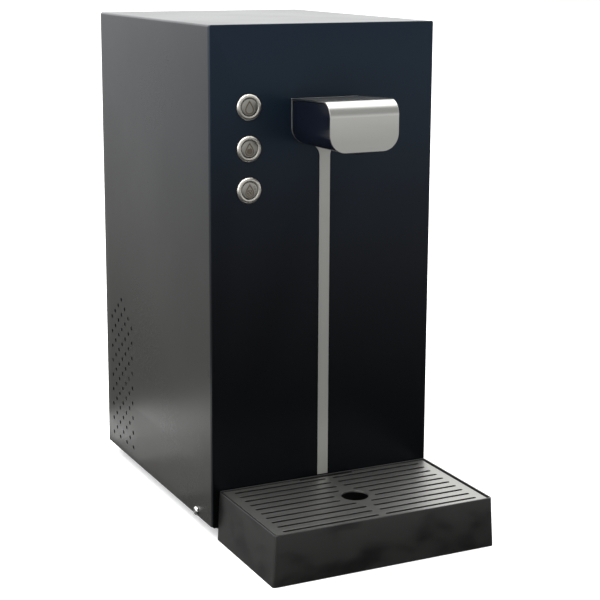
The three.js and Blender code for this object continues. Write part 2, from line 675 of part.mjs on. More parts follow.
function carbonator() {
  const z = [TANK.z[0] + TANK.wall + SEAM, TANK.z[1] - 20];
  const wall = 1.5;
  const profile = [
    [0, z[0]], [20, z[0]], [34, z[0] + 9], [36, z[0] + 16], [36, z[1] - 16], [34, z[1] - 9],
    [20, z[1]], [4, z[1]], [4, z[1] - wall], [20 - wall, z[1] - wall], [34 - wall, z[1] - 9 - wall],
    [36 - wall, z[1] - 16], [36 - wall, z[0] + 16], [34 - wall, z[0] + 9 + wall],
    [20 - wall, z[0] + wall], [0, z[0] + wall],
  ];
  part('carbonator', turned('z', profile, [0, TANK_MIDDLE_Y]), 'stainless');
}

function pump() {
  const at = [62, 46];
  const motor = rod('y', 31, [98, 164], at);
  const foot = block([40, 84], [105, 158], [BASE_TOP + SEAM, 24]);
  part('pump_motor', join(motor, foot), 'galvanised');
  part('pump', rod('y', 20, [74, 98 - SEAM], at), 'brass');
}

function valves() {
  const y = [FRONT + 27, FRONT + 45];
  const middle = (y[0] + y[1]) / 2;
  part('valve_manifold', block([28, 98], y, [317, 331]), 'whitePlastic');
  [42, 63, 84].forEach((x, index) => {
    const body = block([x - 8, x + 8], [middle - 8, middle + 8], [331 + SEAM, 350]);
    const coil = rod('z', 9.5, [349, 378], [x, middle], 20);
    part(`solenoid_valve_${index + 1}`, join(body, coil), 'plastic');
  });
}

function hoses() {
  const reach = FRONT - NOZZLE_REACH;
  const dispense = [
    [0, reach, 353.4], [0, reach + 1, 359], [0, reach + 9, 365], [0, reach + 24, 366],
    [0, FRONT - 10, 366], [0, FRONT + 8, 366], [0, FRONT + 22, 360], [6, FRONT + 32, 342],
    [17, FRONT + 36, 325], [28 - TUBE_GAP, FRONT + 36, 324],
  ];
  part('dispense_tube', tube(dispense, 4, 28), 'hose');
  const inlet = [
    [INLET_X, REAR - 26, WATER_INLET_Z], [INLET_X, 150, WATER_INLET_Z], [77, 125, 122],
    [89, 100, 98], [94, 86, 70], [93, 85.5, 53], [88, 85.5, 46.5], [82 + TUBE_GAP, 85.5, 46],
  ];
  part('inlet_hose', tube(inlet, 3), 'hose');
  const pumpOut = [
    [62, 85.5, 66 + TUBE_GAP], [62, 85.5, 75], [62, 98, 105], [61, 132, 150], [60, 156, 200],
    [58, 158, 300], [48, 152, 392], [28, 118, 417], [12, 76, 416], [10, 62, 410],
    [10, 60, LID_TOP + TUBE_GAP],
  ];
  part('pump_hose', tube(pumpOut, 3, 30), 'hose');
  const gas = [
    [INLET_X, REAR - 26, GAS_INLET_Z], [INLET_X, 155, GAS_INLET_Z], [75, 153, 205],
    [77, 156, 300], [68, 148, 395], [50, 108, 420], [37, 62, 417], [31, 43, 410],
    [30, 40, LID_TOP + TUBE_GAP],
  ];
  part('co2_hose', tube(gas, 2.5, 28), 'hose');
  const chilled = [
    [-20, 20, LID_TOP + TUBE_GAP], [-20, 20, 409], [-6, -6, 420], [50, -22, 419], [80, -35, 400],
    [84, -36.5, 370], [84, -36.5, 351], [84, -38.5, 341], [84, -43 + TUBE_GAP, 340],
  ];
  part('chilled_hose', tube(chilled, 2.5, 24), 'hose');
}

/** A threaded bulkhead fitting through the rear panel, with its hexagon outside. */
function bulkheadFitting(name, z) {
  const at = [INLET_X, z];
  const stem = rod('y', 6.7, [REAR - 25 + SEAM, REAR + REAR_FITTINGS], at);
  const hexagon = rod('y', 10.5, [REAR_PANEL_OUTER + SEAM, REAR + 5], at, 6);
  const lockNut = rod('y', 10.5, [REAR_PANEL_INNER - 5, REAR_PANEL_INNER - SEAM], at, 6);
  const bore = rod('y', 1.8, [REAR + 5, REAR + REAR_FITTINGS + 1], at, 12);
  part(name, cut(join(stem, hexagon, lockNut), bore), 'brass');
}

// ---- Electrics ----------------------------------------------------------------------

function controlBoard() {
  const y = FRONT + 28;
  const board = block([0, 92], [y, y + 1.6], [200, 308]);
  const transformer = block([10, 45], [y + 1, y + 22], [212, 245]);
  const relays = [54, 74].map((x) => block([x, x + 14], [y + 1, y + 16], [214, 232]));
  const connectors = [12, 34, 56].map((x) => block([x, x + 16], [y + 1, y + 10], [290, 300]));
  const capacitor = rod('z', 7, [255, 280], [y + 8, 0], 12);
  capacitor.translate(70 - (y + 8), y + 8, 0);
  const parts = join(board, transformer, ...relays, ...connectors, capacitor);
  part('control_board', parts, 'board');
}

function mainsInlet() {
  const half = MAINS.width / 2;
  const x = [MAINS.x - half, MAINS.x + half];
  const z = [MAINS.z - MAINS.height / 2, MAINS.z + MAINS.height / 2];
  const body = block(x, [158, REAR], z);
  const face = [REAR_PANEL_OUTER + SEAM, REAR + 1.5];
  const flange = block([x[0] - 3, x[1] + 3], face, [z[0] - 3, z[1] + 3]);
  const socketX = [MAINS.x - SOCKET.width / 2, MAINS.x + SOCKET.width / 2];
  const socketZ = [SOCKET.z - SOCKET.height / 2, SOCKET.z + SOCKET.height / 2];
  const socket = block(socketX, [REAR - 14, REAR + 3], socketZ);
  const halfWell = ROCKER.width / 2 + 0.5;
  const tallWell = ROCKER.height / 2 + 1;
  const wellX = [MAINS.x - halfWell, MAINS.x + halfWell];
  const wellZ = [ROCKER.z - tallWell, ROCKER.z + tallWell];
  const well = block(wellX, [REAR - 10, REAR + 3], wellZ);
  const pins = [[-7, -2], [0, 2], [7, -2]].map(([dx, dz]) => {
    const centre = MAINS.x + dx;
    const height = SOCKET.z + dz;
    return block([centre - 1, centre + 1], [REAR - 15, REAR - 5], [height - 2.5, height + 2.5]);
  });
  part('mains_inlet', join(cut(join(body, flange), socket, well), ...pins), 'plastic');
}

/** The rocker rests pressed at its lower end, which is off. */
function powerRocker() {
  const half = ROCKER.height / 2;
  const shape = outline([[-4, -8], [4.5, -half], [2.6, 0], [4.5, half], [-4, 8]]);
  const rocker = extruded('yz', shape, [-ROCKER.width / 2, ROCKER.width / 2]);
  rocker.rotateX(THREE.MathUtils.degToRad(-ROCKER.tilt));
  part('power_rocker', rocker.translate(MAINS.x, REAR - 2, ROCKER.z), 'plastic');
}

function thermostat() {
  const y = [TANK.y[1] + 7, REAR_PANEL_INNER - SEAM];
  const body = block([-18, 18], y, [THERMOSTAT_Z - 18, THERMOSTAT_Z + 18]);
  part('thermostat', body, 'whitePlastic');
  const back = REAR_PANEL_OUTER + SEAM;
  const profile = [
    [0, REAR_PANEL_INNER], [3, REAR_PANEL_INNER], [3, back], [11, back],
    [11, back + 2], [8.5, back + 3], [8, back + 10], [7, back + 11], [0, back + 11],
  ];
  const knob = turned('y', profile, [0, THERMOSTAT_Z]);
  const pointer = block([-0.8, 0.8], [back + 9.5, back + 12], [THERMOSTAT_Z, THERMOSTAT_Z + 9]);
  part('thermostat_knob', cut(knob, pointer), 'plastic');
}

basePlate();
frontFrame();
frontPanel();
wrapCover();
rearPanel();
feet();
screws();
spoutBackPlate();
spoutHood();
nozzle();
buttons();
dripTray();
dripGrate();
compressor();
condenser();
fan();
filterDrier();
tankShelf();
coldTank();
evaporatorCoil();
refrigerantTubes();
carbonator();
pump();
valves();
hoses();
bulkheadFitting('water_inlet', WATER_INLET_Z);
bulkheadFitting('co2_inlet', GAS_INLET_Z);
controlBoard();
mainsInlet();
powerRocker();
thermostat();

export default dispenser;
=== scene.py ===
"""The looks of a countertop water dispenser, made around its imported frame.

Shapes are worked in millimetres and finished in metres, in the frame's own axes: +X to
the right, +Y to the rear and +Z up, with the origin on the worktop.
"""

from __future__ import annotations

import json
import logging
import math
from abc import ABC, abstractmethod
from collections.abc import Callable, Iterable
from dataclasses import dataclass
from enum import Enum

import bmesh
import bpy
from bmesh.types import BMEdge, BMVert
from mathutils import Matrix, Vector


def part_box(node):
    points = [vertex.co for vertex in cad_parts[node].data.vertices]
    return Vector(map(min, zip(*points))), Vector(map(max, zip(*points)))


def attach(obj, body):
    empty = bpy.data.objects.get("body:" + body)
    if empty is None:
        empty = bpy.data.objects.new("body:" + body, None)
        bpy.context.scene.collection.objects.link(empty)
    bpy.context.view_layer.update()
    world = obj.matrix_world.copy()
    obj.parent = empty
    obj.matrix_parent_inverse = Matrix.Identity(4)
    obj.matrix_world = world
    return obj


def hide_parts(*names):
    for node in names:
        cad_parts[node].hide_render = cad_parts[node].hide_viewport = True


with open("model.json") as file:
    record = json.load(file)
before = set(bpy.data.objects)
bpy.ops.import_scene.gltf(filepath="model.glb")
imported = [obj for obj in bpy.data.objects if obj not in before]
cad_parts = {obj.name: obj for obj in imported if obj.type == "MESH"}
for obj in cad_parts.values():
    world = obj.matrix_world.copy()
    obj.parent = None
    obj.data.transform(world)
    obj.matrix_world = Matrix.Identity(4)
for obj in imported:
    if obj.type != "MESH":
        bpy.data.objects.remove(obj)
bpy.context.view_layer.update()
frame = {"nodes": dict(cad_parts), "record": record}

LOG = logging.getLogger("dispenser")
MM = 0.001
PAST = 5.0
SHARP_ANGLE = math.radians(32)

Pair = tuple[float, float]
Triple = tuple[float, float, float]
Colour = tuple[float, float, float]


def grown(span: Pair, by: float) -> Pair:
    """A span with both its ends moved out, or moved in by a negative length."""
    return span[0] - by, span[1] + by


def about(middle: float, half: float) -> Pair:
    """The span that reaches equally far on both sides of a middle."""
    return middle - half, middle + half


class Axis(Enum):
    """An axis of the frame."""

    X = 0
    Y = 1
    Z = 2

    @property
    def vector(self) -> Vector:
        """The axis as a unit vector."""
        return Vector([float(index == self.value) for index in range(3)])

    def placed(self, across: Pair, along: float) -> Vector:
        """A point from its two coordinates across the axis and its place along it."""
        point = list(across)
        point.insert(self.value, along)
        return Vector(point)


class Body(Enum):
    """A body of the frame that pieces ride on."""

    CABINET = "cabinet"
    TRAY = "drip_tray"
    GRATE = "drip_grate"
    ROCKER = "power_rocker"
    KNOB = "thermostat_knob"
    BUTTON_1 = "button_1"
    BUTTON_2 = "button_2"
    BUTTON_3 = "button_3"


class Operation(Enum):
    """How one form acts on another."""

    JOIN = "UNION"
    CUT = "DIFFERENCE"
    CROSS = "INTERSECT"


@dataclass(frozen=True)
class Box:
    """Where a node of the frame lies, in millimetres."""

    x: Pair
    y: Pair
    z: Pair

    @classmethod
    def of(cls, node: str) -> Box:
        """The box of one node."""
        low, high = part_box(node)
        return cls(*((a / MM, b / MM) for a, b in zip(low, high)))

    @property
    def middle(self) -> Vector:
        """The middle of the box."""
        return Vector([sum(span) / 2 for span in (self.x, self.y, self.z)])


# ---- Shapes --------------------------------------------------------------------------


def runs_along(edge: BMEdge, axis: Axis) -> bool:
    """Whether an edge lies along an axis."""
    first, second = (vert.co for vert in edge.verts)
    return abs((second - first).normalized()[axis.value]) > 0.999


def middle_of(edge: BMEdge) -> Vector:
    """The middle of an edge."""
    return (edge.verts[0].co + edge.verts[1].co) / 2


def on_plane(edge: BMEdge, axis: Axis, place: float) -> bool:
    """Whether both ends of an edge are on a plane across an axis."""
    return all(abs(vert.co[axis.value] - place) < 0.01 for vert in edge.verts)


class Shape:
    """A closed form in millimetres, shaped by mesh operators."""

    def __init__(self) -> None:
        """Starts an empty form."""
        self.mesh = bmesh.new()

    @classmethod
    def block(cls, x: Pair, y: Pair, z: Pair) -> Shape:
        """Makes a box.

        Args:
            x: Its lowest and highest place on X.
            y: The same on Y.
            z: The same on Z.

        Returns:
            The box.
        """
        return cls.tapered(x, y, x, y, z)

    @classmethod
    def tapered(cls, x: Pair, y: Pair, top_x: Pair, top_y: Pair, z: Pair) -> Shape:
        """Makes a block whose top differs in size from its bottom.

        Args:
            x: The bottom's lowest and highest place on X.
            y: The bottom's on Y.
            top_x: The top's on X.
            top_y: The top's on Y.
            z: The lowest and highest place on Z.

        Returns:
            The block.
        """
        shape = cls()
        bmesh.ops.create_cube(shape.mesh, size=2.0)
        for vert in shape.mesh.verts:
            high = vert.co.z > 0
            across = (top_x, top_y) if high else (x, y)
            vert.co = (across[0][vert.co.x > 0], across[1][vert.co.y > 0], z[high])
        return shape

    @classmethod
    def prism(cls, corners: Iterable[Pair], axis: Axis, span: Pair) -> Shape:
        """Draws a flat outline out along an axis.

        Args:
            corners: The outline's points, each its two coordinates across the axis.
            axis: The axis that the outline is drawn along.
            span: Where it starts and ends.

        Returns:
            The prism.
        """
        shape = cls()
        mesh = shape.mesh
        face = mesh.faces.new([mesh.verts.new(axis.placed(at, span[0])) for at in corners])
        drawn = bmesh.ops.extrude_face_region(mesh, geom=[face])["geom"]
        moved = [vert for vert in drawn if isinstance(vert, BMVert)]
        bmesh.ops.translate(mesh, vec=axis.vector * (span[1] - span[0]), verts=moved)
        return shape.outwards()

    @classmethod
    def turned(cls, profile: Iterable[Pair], axis: Axis, at: Pair, steps: int = 48) -> Shape:
        """Turns a profile about an axis.

        Args:
            profile: Points of radius and place along the axis, going up the outside.
            axis: The axis to turn about.
            at: The axis's two coordinates across itself.
            steps: The number of sides.

        Returns:
            The turned form.
        """
        shape = cls()
        mesh = shape.mesh
        verts = [mesh.verts.new((radius, 0, along)) for radius, along in profile]
        ends = list(zip(verts, verts[1:]))
        if verts[0].co.x > 0:
            ends.append((verts[-1], verts[0]))
        edges = [mesh.edges.new(pair) for pair in ends]
        whole = {"angle": 2 * math.pi, "steps": steps, "use_merge": True}
        bmesh.ops.spin(mesh, geom=verts + edges, cent=(0, 0, 0), axis=(0, 0, 1), **whole)
        bmesh.ops.remove_doubles(mesh, verts=mesh.verts, dist=0.001)
        turn = Vector((0, 0, 1)).rotation_difference(axis.vector).to_matrix().to_4x4()
        return shape.outwards().transformed(Matrix.Translation(axis.placed(at, 0)) @ turn)

    @classmethod
    def rod(cls, axis: Axis, radius: float, span: Pair, at: Pair, steps: int = 48) -> Shape:
        """Makes a round bar along an axis.

        Args:
            axis: The axis it lies along.
            radius: Its radius.
            span: Where it starts and ends.
            at: Its two coordinates across the axis.
            steps: The number of sides.

        Returns:
            The bar.
        """
        profile = [(0, span[0]), (radius, span[0]), (radius, span[1]), (0, span[1])]
        return cls.turned(profile, axis, at, steps)

    @classmethod
    def group(cls, *shapes: Shape) -> Shape:
        """Gathers forms that don't meet into one."""
        whole = cls()
        for shape in shapes:
            loose = bpy.data.meshes.new("loose")
            shape.mesh.to_mesh(loose)
            whole.mesh.from_mesh(loose)
            bpy.data.meshes.remove(loose)
        return whole

    def copied(self) -> Shape:
        """Another form like this one."""
        return Shape.group(self)

    def outwards(self) -> Shape:
        """Turns every face outwards."""
        bmesh.ops.recalc_face_normals(self.mesh, faces=self.mesh.faces)
        return self

    def transformed(self, matrix: Matrix) -> Shape:
        """Moves, turns or scales the form."""
        bmesh.ops.transform(self.mesh, matrix=matrix, verts=self.mesh.verts)
        return self

    def moved(self, x: float = 0, y: float = 0, z: float = 0) -> Shape:
        """Moves the form."""
        return self.transformed(Matrix.Translation((x, y, z)))

    def rounded(self, radius: float, chosen: Callable[[BMEdge], bool], segments: int = 6) -> Shape:
        """Rounds the chosen edges.

        Args:
            radius: The radius of the round.
            chosen: Says whether an edge is rounded.
            segments: The steps of the round.

        Returns:
            This form.
        """
        edges = [edge for edge in self.mesh.edges if chosen(edge)]
        form = {"affect": "EDGES", "segments": segments, "profile": 0.5, "material": -1}
        bmesh.ops.bevel(self.mesh, geom=edges, offset=radius, offset_type="OFFSET", **form)
        return self

    def combined(self, operation: Operation, other: Shape) -> Shape:
        """Joins, cuts or crosses this form with another.

        Args:
            operation: What to do.
            other: The other form, which is used up.

        Returns:
            This form.
        """
        pair = []
        for shape in (self, other):
            mesh = bpy.data.meshes.new("working")
            shape.mesh.to_mesh(mesh)
            pair.append(bpy.data.objects.new("working", mesh))
            bpy.context.scene.collection.objects.link(pair[-1])
        work, tool = pair
        boolean = work.modifiers.new("combine", "BOOLEAN")
        boolean.operation = operation.value
        boolean.solver = "EXACT"
        boolean.object = tool
        result = bpy.data.meshes.new_from_object(work.evaluated_get(bpy.context.evaluated_depsgraph_get()))
        self.mesh.clear()
        self.mesh.from_mesh(result)
        bpy.data.meshes.remove(result)
        for item in pair:
            mesh = item.data
            bpy.data.objects.remove(item)
            bpy.data.meshes.remove(mesh)
        other.mesh.free()
        return self

    def cut(self, *tools: Shape) -> Shape:
        """Cuts each tool out of the form."""
        for tool in tools:
            self.combined(Operation.CUT, tool)
        return self

    def joined(self, *others: Shape) -> Shape:
        """Joins other forms to this one."""
        for other in others:
            self.combined(Operation.JOIN, other)
        return self


# ---- Shader maths --------------------------------------------------------------------


class Channel:
    """A socket's value. Arithmetic on it adds Math nodes to its graph."""

    def __init__(self, graph: Graph, socket: bpy.types.NodeSocket) -> None:
        """Wraps a socket of a graph."""
        self.graph = graph
        self.socket = socket

    def math(self, operation: str, *operands: Channel | float) -> Channel:
        """Works out a Math node's operation on this value and others.

        Args:
            operation: The Math node's operation.
            operands: The operation's inputs, in order.

        Returns:
            The result.
        """
        node = self.graph.node("ShaderNodeMath", {"operation": operation}, dict(enumerate(operands)))
        return Channel(self.graph, node.outputs[0])

    def __add__(self, other: Channel | float) -> Channel:
        """The sum."""
        return self.math("ADD", self, other)

    __radd__ = __add__

    def __sub__(self, other: Channel | float) -> Channel:
        """The difference."""
        return self.math("SUBTRACT", self, other)

    def __rsub__(self, other: float) -> Channel:
        """The difference, the other way round."""
        return self.math("SUBTRACT", other, self)

    def __mul__(self, other: Channel | float) -> Channel:
        """The product."""
        return self.math("MULTIPLY", self, other)

    __rmul__ = __mul__

    def red(self) -> Channel:
        """The red part of a colour."""
        return Channel(self.graph, self.graph.node("ShaderNodeSeparateColor", {}, {0: self}).outputs[0])

    def smooth(self, low: float, high: float) -> Channel:
        """A soft step from 0 at low to 1 at high."""
        settings = {"interpolation_type": "SMOOTHSTEP"}
        values = {"Value": self, "From Min": low, "From Max": high}
        return Channel(self.graph, self.graph.node("ShaderNodeMapRange", settings, values).outputs[0])


MIX_FACTOR, MIX_A, MIX_B, MIX_RESULT = 0, 6, 7, 2


class Graph:
    """A node graph that a finish or the surroundings are drawn in."""

    def __init__(self, tree: bpy.types.NodeTree) -> None:
        """Empties a node tree to draw in."""
        self.tree = tree
        self.tree.nodes.clear()

    def node(self, kind: str, settings: dict | None = None, sockets: dict | None = None) -> bpy.types.Node:
        """Adds a node.

        Args:
            kind: The node's type.
            settings: Its settings, which are set first.
            sockets: The value or link of each input, by name or number.

        Returns:
            The node.
        """
        node = self.tree.nodes.new(kind)
        for name, value in (settings or {}).items():
            setattr(node, name, value)
        for name, value in (sockets or {}).items():
            self.feed(node.inputs[name], value)
        return node

    def shown(self, shader: bpy.types.Node, output: str = "ShaderNodeOutputMaterial") -> None:
        """Links a shader to the graph's output."""
        self.tree.links.new(shader.outputs[0], self.node(output).inputs["Surface"])

    def feed(self, socket: bpy.types.NodeSocket, value: object) -> None:
        """Links a channel to a socket, or sets its value."""
        if isinstance(value, Channel):
            self.tree.links.new(value.socket, socket)
        elif isinstance(value, tuple) and len(value) == 3 and socket.type == "RGBA":
            socket.default_value = (*value, 1.0)
        else:
            socket.default_value = value

    def place(self, stretch: Triple = (1, 1, 1), shift: Triple = (0, 0, 0)) -> Channel:
        """The place on the piece, stretched and moved."""
        point = Channel(self, self.node("ShaderNodeTexCoord").outputs["Object"])
        sockets = {"Vector": point, "Location": shift, "Scale": stretch}
        return Channel(self, self.node("ShaderNodeMapping", {}, sockets).outputs[0])

    def height(self) -> Channel:
        """The height on the piece."""
        parts = self.node("ShaderNodeSeparateXYZ", {}, {0: self.place()})
        return Channel(self, parts.outputs["Z"])

    def noise(
        self, scale: float, detail: float = 2, stretch: Triple = (1, 1, 1), shift: float = 0
    ) -> Channel:
        """A soft random value over the surface.

        Args:
            scale: How many swings there are in a metre.
            detail: How many finer layers it has.
            stretch: How it is stretched along each axis.
            shift: Moves it, so that two layers differ.

        Returns:
            The value, near 0.5.
        """
        where = self.place(stretch, (shift, shift, shift))
        sockets = {"Vector": where, "Scale": scale, "Detail": detail, "Roughness": 0.55}
        return Channel(self, self.node("ShaderNodeTexNoise", {}, sockets).outputs[0])

    def cells(self, scale: float, feature: str = "F1", output: str = "Distance") -> Channel:
        """A pattern of cells over the surface.

        Args:
            scale: How many cells there are in a metre.
            feature: What is measured in each cell.
            output: The output to use.

        Returns:
            The value or colour.
        """
        sockets = {"Vector": self.place(), "Scale": scale}
        node = self.node("ShaderNodeTexVoronoi", {"feature": feature}, sockets)
        return Channel(self, node.outputs[output])

    def mixed(self, mask: Channel | float, first: object, second: object) -> Channel:
        """Goes from a first colour to a second as a mask goes from 0 to 1."""
        sockets = {MIX_FACTOR: mask, MIX_A: first, MIX_B: second}
        node = self.node("ShaderNodeMix", {"data_type": "RGBA"}, sockets)
        return Channel(self, node.outputs[MIX_RESULT])

    def bump(self, height: Channel, depth: float, strength: float = 1.0) -> Channel:
        """A normal that follows a height.

        Args:
            height: The height, from 0 to 1.
            depth: How far 1 stands up, in metres.
            strength: How much of it is used.

        Returns:
            The normal.
        """
        sockets = {"Height": height, "Distance": depth, "Strength": strength}
        return Channel(self, self.node("ShaderNodeBump", {}, sockets).outputs[0])


# ---- Finishes ------------------------------------------------------------------------


def shade(colour: Colour, share: float) -> Colour:
    """A lighter or darker colour."""
    return tuple(min(part * share, 1.0) for part in colour)


@dataclass(frozen=True)
class Finish(ABC):
    """A finish. Its colour is linear."""

    name: str
    colour: Colour
    roughness: float
    metallic: float = 0.0
    specular: float = 0.5
    gleam: Colour = (1, 1, 1)

    def material(self) -> bpy.types.Material:
        """Makes the finish's material."""
        material = bpy.data.materials.new(self.name)
        material.use_nodes = True
        graph = Graph(material.node_tree)
        shader = graph.node("ShaderNodeBsdfPrincipled")
        graph.shown(shader)
        shader.inputs["Metallic"].default_value = self.metallic
        shader.inputs["Specular IOR Level"].default_value = self.specular
        shader.inputs["Specular Tint"].default_value = (*self.gleam, 1.0)
        for name, value in self.dressed(graph).items():
            graph.feed(shader.inputs[name], value)
        return material

    @abstractmethod
    def dressed(self, graph: Graph) -> dict[str, object]:
        """What feeds the shader's sockets."""


@dataclass(frozen=True)
class PowderCoat(Finish):
    """Baked powder paint: a fine orange peel with faint clouds where it was wiped."""

    tint: Colour = (0, 0, 0)
    peel: float = 0.00002

    def dressed(self, graph: Graph) -> dict[str, object]:
        """What feeds the shader's sockets."""
        clouds = graph.noise(7, 3).smooth(0.35, 0.7)
        grain = graph.noise(1100, 1)
        specks = graph.cells(420).smooth(0.1, 0.03) * graph.noise(60, 1).smooth(0.55, 0.7)
        paint = graph.mixed(clouds, self.colour, self.tint)
        return {
            "Base Color": graph.mixed(specks * 0.08, paint, shade(self.colour, 3)),
            "Roughness": self.roughness + 0.05 * clouds + 0.06 * (grain - 0.5),
            "Normal": graph.bump(grain, self.peel, 0.5),
        }


@dataclass(frozen=True)
class HeightShadedCoat(PowderCoat):
    """Powder paint with light and shade painted in by height: painted shade from black low down, and a
    painted blue-black tone at the top.
    """

    # low and painted_top_light are painted light and shade laid over the paint's colour, not the paint's
    # own colour.
    low: Colour = (0, 0, 0)
    painted_top_light: Colour = (0, 0, 0)

    def dressed(self, graph: Graph) -> dict[str, object]:
        """What feeds the shader's sockets."""
        fed = super().dressed(graph)
        height = graph.height()
        # Painted shade low down, then the painted top tone laid over it.
        lower = graph.mixed(height.smooth(0.02, 0.26), self.low, fed["Base Color"])
        fed["Base Color"] = graph.mixed(height.smooth(0.2, 0.44), lower, self.painted_top_light)
        return fed


@dataclass(frozen=True)
class BrushedMetal(Finish):
    """Metal brushed along one axis, with faint smears where it was handled."""

    along: Axis = Axis.X
    grain: float = 0.12
    depth: float = 0.00002

    def dressed(self, graph: Graph) -> dict[str, object]:
        """What feeds the shader's sockets."""
        stretch = tuple(1.0 if axis is self.along else 60.0 for axis in Axis)
        fine = graph.noise(40, 2, stretch)
        coarse = graph.noise(5, 3, stretch, 3.1)
        smears = graph.noise(16, 3, (1, 1, 1), 7.7).smooth(0.5, 0.75)
        lines = self.grain * (fine - 0.5) + self.grain * (coarse - 0.5)
        light = 0.5 + lines - 0.1 * smears
        return {
            "Base Color": graph.mixed(light, shade(self.colour, 0.7), shade(self.colour, 1.3)),
            "Roughness": self.roughness + 0.5 * lines + 0.05 * smears,
            "Normal": graph.bump(fine + coarse, self.depth, 0.35),
        }


@dataclass(frozen=True)
class Polished(Finish):
    """Plated metal, bright, with faint wiping marks."""

    def dressed(self, graph: Graph) -> dict[str, object]:
        """What feeds the shader's sockets."""
        wiped = graph.noise(90, 3).smooth(0.45, 0.75)
        fine = graph.noise(900, 2)
        return {
            "Base Color": graph.mixed(wiped, self.colour, shade(self.colour, 0.85)),
            "Roughness": self.roughness + 0.08 * wiped + 0.04 * (fine - 0.5),
            "Normal": graph.bump(fine, 0.000003, 0.3),
        }


@dataclass(frozen=True)
class Moulded(Finish):
    """Moulded plastic or rubber with a fine eroded grain and cloudy marks."""

    grain: float = 1500
    depth: float = 0.00003
    marks: float = 0.5

    def dressed(self, graph: Graph) -> dict[str, object]:
        """What feeds the shader's sockets."""
        grain = graph.noise(self.grain, 2)
        clouds = graph.noise(24, 2, (1, 1, 1.6), 2.3).smooth(0.4, 0.68)
        dust = graph.cells(700).smooth(0.12, 0.04) * graph.noise(45, 1, (1, 1, 1), 5).smooth(0.5, 0.7)
        light = graph.mixed(clouds * self.marks, self.colour, shade(self.colour, 0.35))
        return {
            "Base Color": graph.mixed(dust * 0.25, light, shade(self.colour, 3)),
            "Roughness": self.roughness + 0.1 * (grain - 0.5) - 0.08 * clouds * self.marks,
            "Normal": graph.bump(grain, self.depth, 0.6),
        }


@dataclass(frozen=True)
class Galvanised(Finish):
    """Zinc-coated sheet with its crystal flakes."""

    flakes: float = 130

    def dressed(self, graph: Graph) -> dict[str, object]:
        """What feeds the shader's sockets."""
        flake = graph.cells(self.flakes, output="Color").red()
        dull = graph.noise(30, 3).smooth(0.35, 0.7)
        light = 0.25 + 0.5 * flake
        return {
            "Base Color": graph.mixed(light, shade(self.colour, 0.72), shade(self.colour, 1.2)),
            "Roughness": self.roughness + 0.18 * (flake - 0.5) + 0.1 * dull,
            "Normal": graph.bump(flake, 0.00003, 0.4),
        }


@dataclass(frozen=True)
class Tarnished(Finish):
    """Bare copper, brass or aluminium with darker patches."""

    patina: Colour = (0.1, 0.06, 0.03)

    def dressed(self, graph: Graph) -> dict[str, object]:
        """What feeds the shader's sockets."""
        patches = graph.noise(55, 4).smooth(0.45, 0.72)
        drawn = graph.noise(700, 2, (1, 1, 0.2))
        return {
            "Base Color": graph.mixed(patches * 0.6, self.colour, self.patina),
            "Roughness": self.roughness + 0.2 * patches + 0.08 * (drawn - 0.5),
            "Normal": graph.bump(drawn, 0.00002, 0.4),
        }


@dataclass(frozen=True)
class BeadFoam(Finish):
    """Expanded bead foam: rounded cells with grooves between them, the grooves painted darker as shade."""

    beads: float = 260

    def dressed(self, graph: Graph) -> dict[str, object]:
        """What feeds the shader's sockets."""
        bead = graph.cells(self.beads)
        tone = graph.noise(40, 2)
        return {
            # Painted shade: the grooves between beads are darkened in the colour.
            "Base Color": graph.mixed(bead.smooth(0.3, 0.75), self.colour, shade(self.colour, 0.72)),
            "Roughness": self.roughness + 0.08 * (tone - 0.5),
            "Normal": graph.bump(1 - bead, 0.0006, 0.7),
        }


@dataclass(frozen=True)
class CircuitBoard(Finish):
    """Solder mask with copper tracks under it."""

    track: Colour = (0.03, 0.22, 0.09)

    def dressed(self, graph: Graph) -> dict[str, object]:
        """What feeds the shader's sockets."""
        lines = graph.cells(260, "DISTANCE_TO_EDGE").smooth(0.1, 0.06)
        cloth = graph.noise(900, 1)
        return {
            "Base Color": graph.mixed(lines, self.colour, self.track),
            "Roughness": self.roughness + 0.1 * (cloth - 0.5),
            "Normal": graph.bump(lines, 0.00005, 0.5),
        }


class Slot(Enum):
    """A material slot of the record."""

    FRONT = "front_black"
    COVER = "cover_black"
    STAINLESS = "stainless"
    BUTTON = "button_satin"
    CHROME = "chrome"
    GRATE = "grate_steel"
    TRAY = "tray_black"
    SPOUT = "spout_black"
    RUBBER = "rubber"
    GALVANISED = "galvanised"
    COMPRESSOR = "compressor_black"
    COPPER = "copper"
    ALUMINIUM = "aluminium"
    FOAM = "foam"
    PLASTIC = "black_plastic"
    WHITE = "white_plastic"
    HOSE = "hose"
    BRASS = "brass"
    BOARD = "circuit_board"


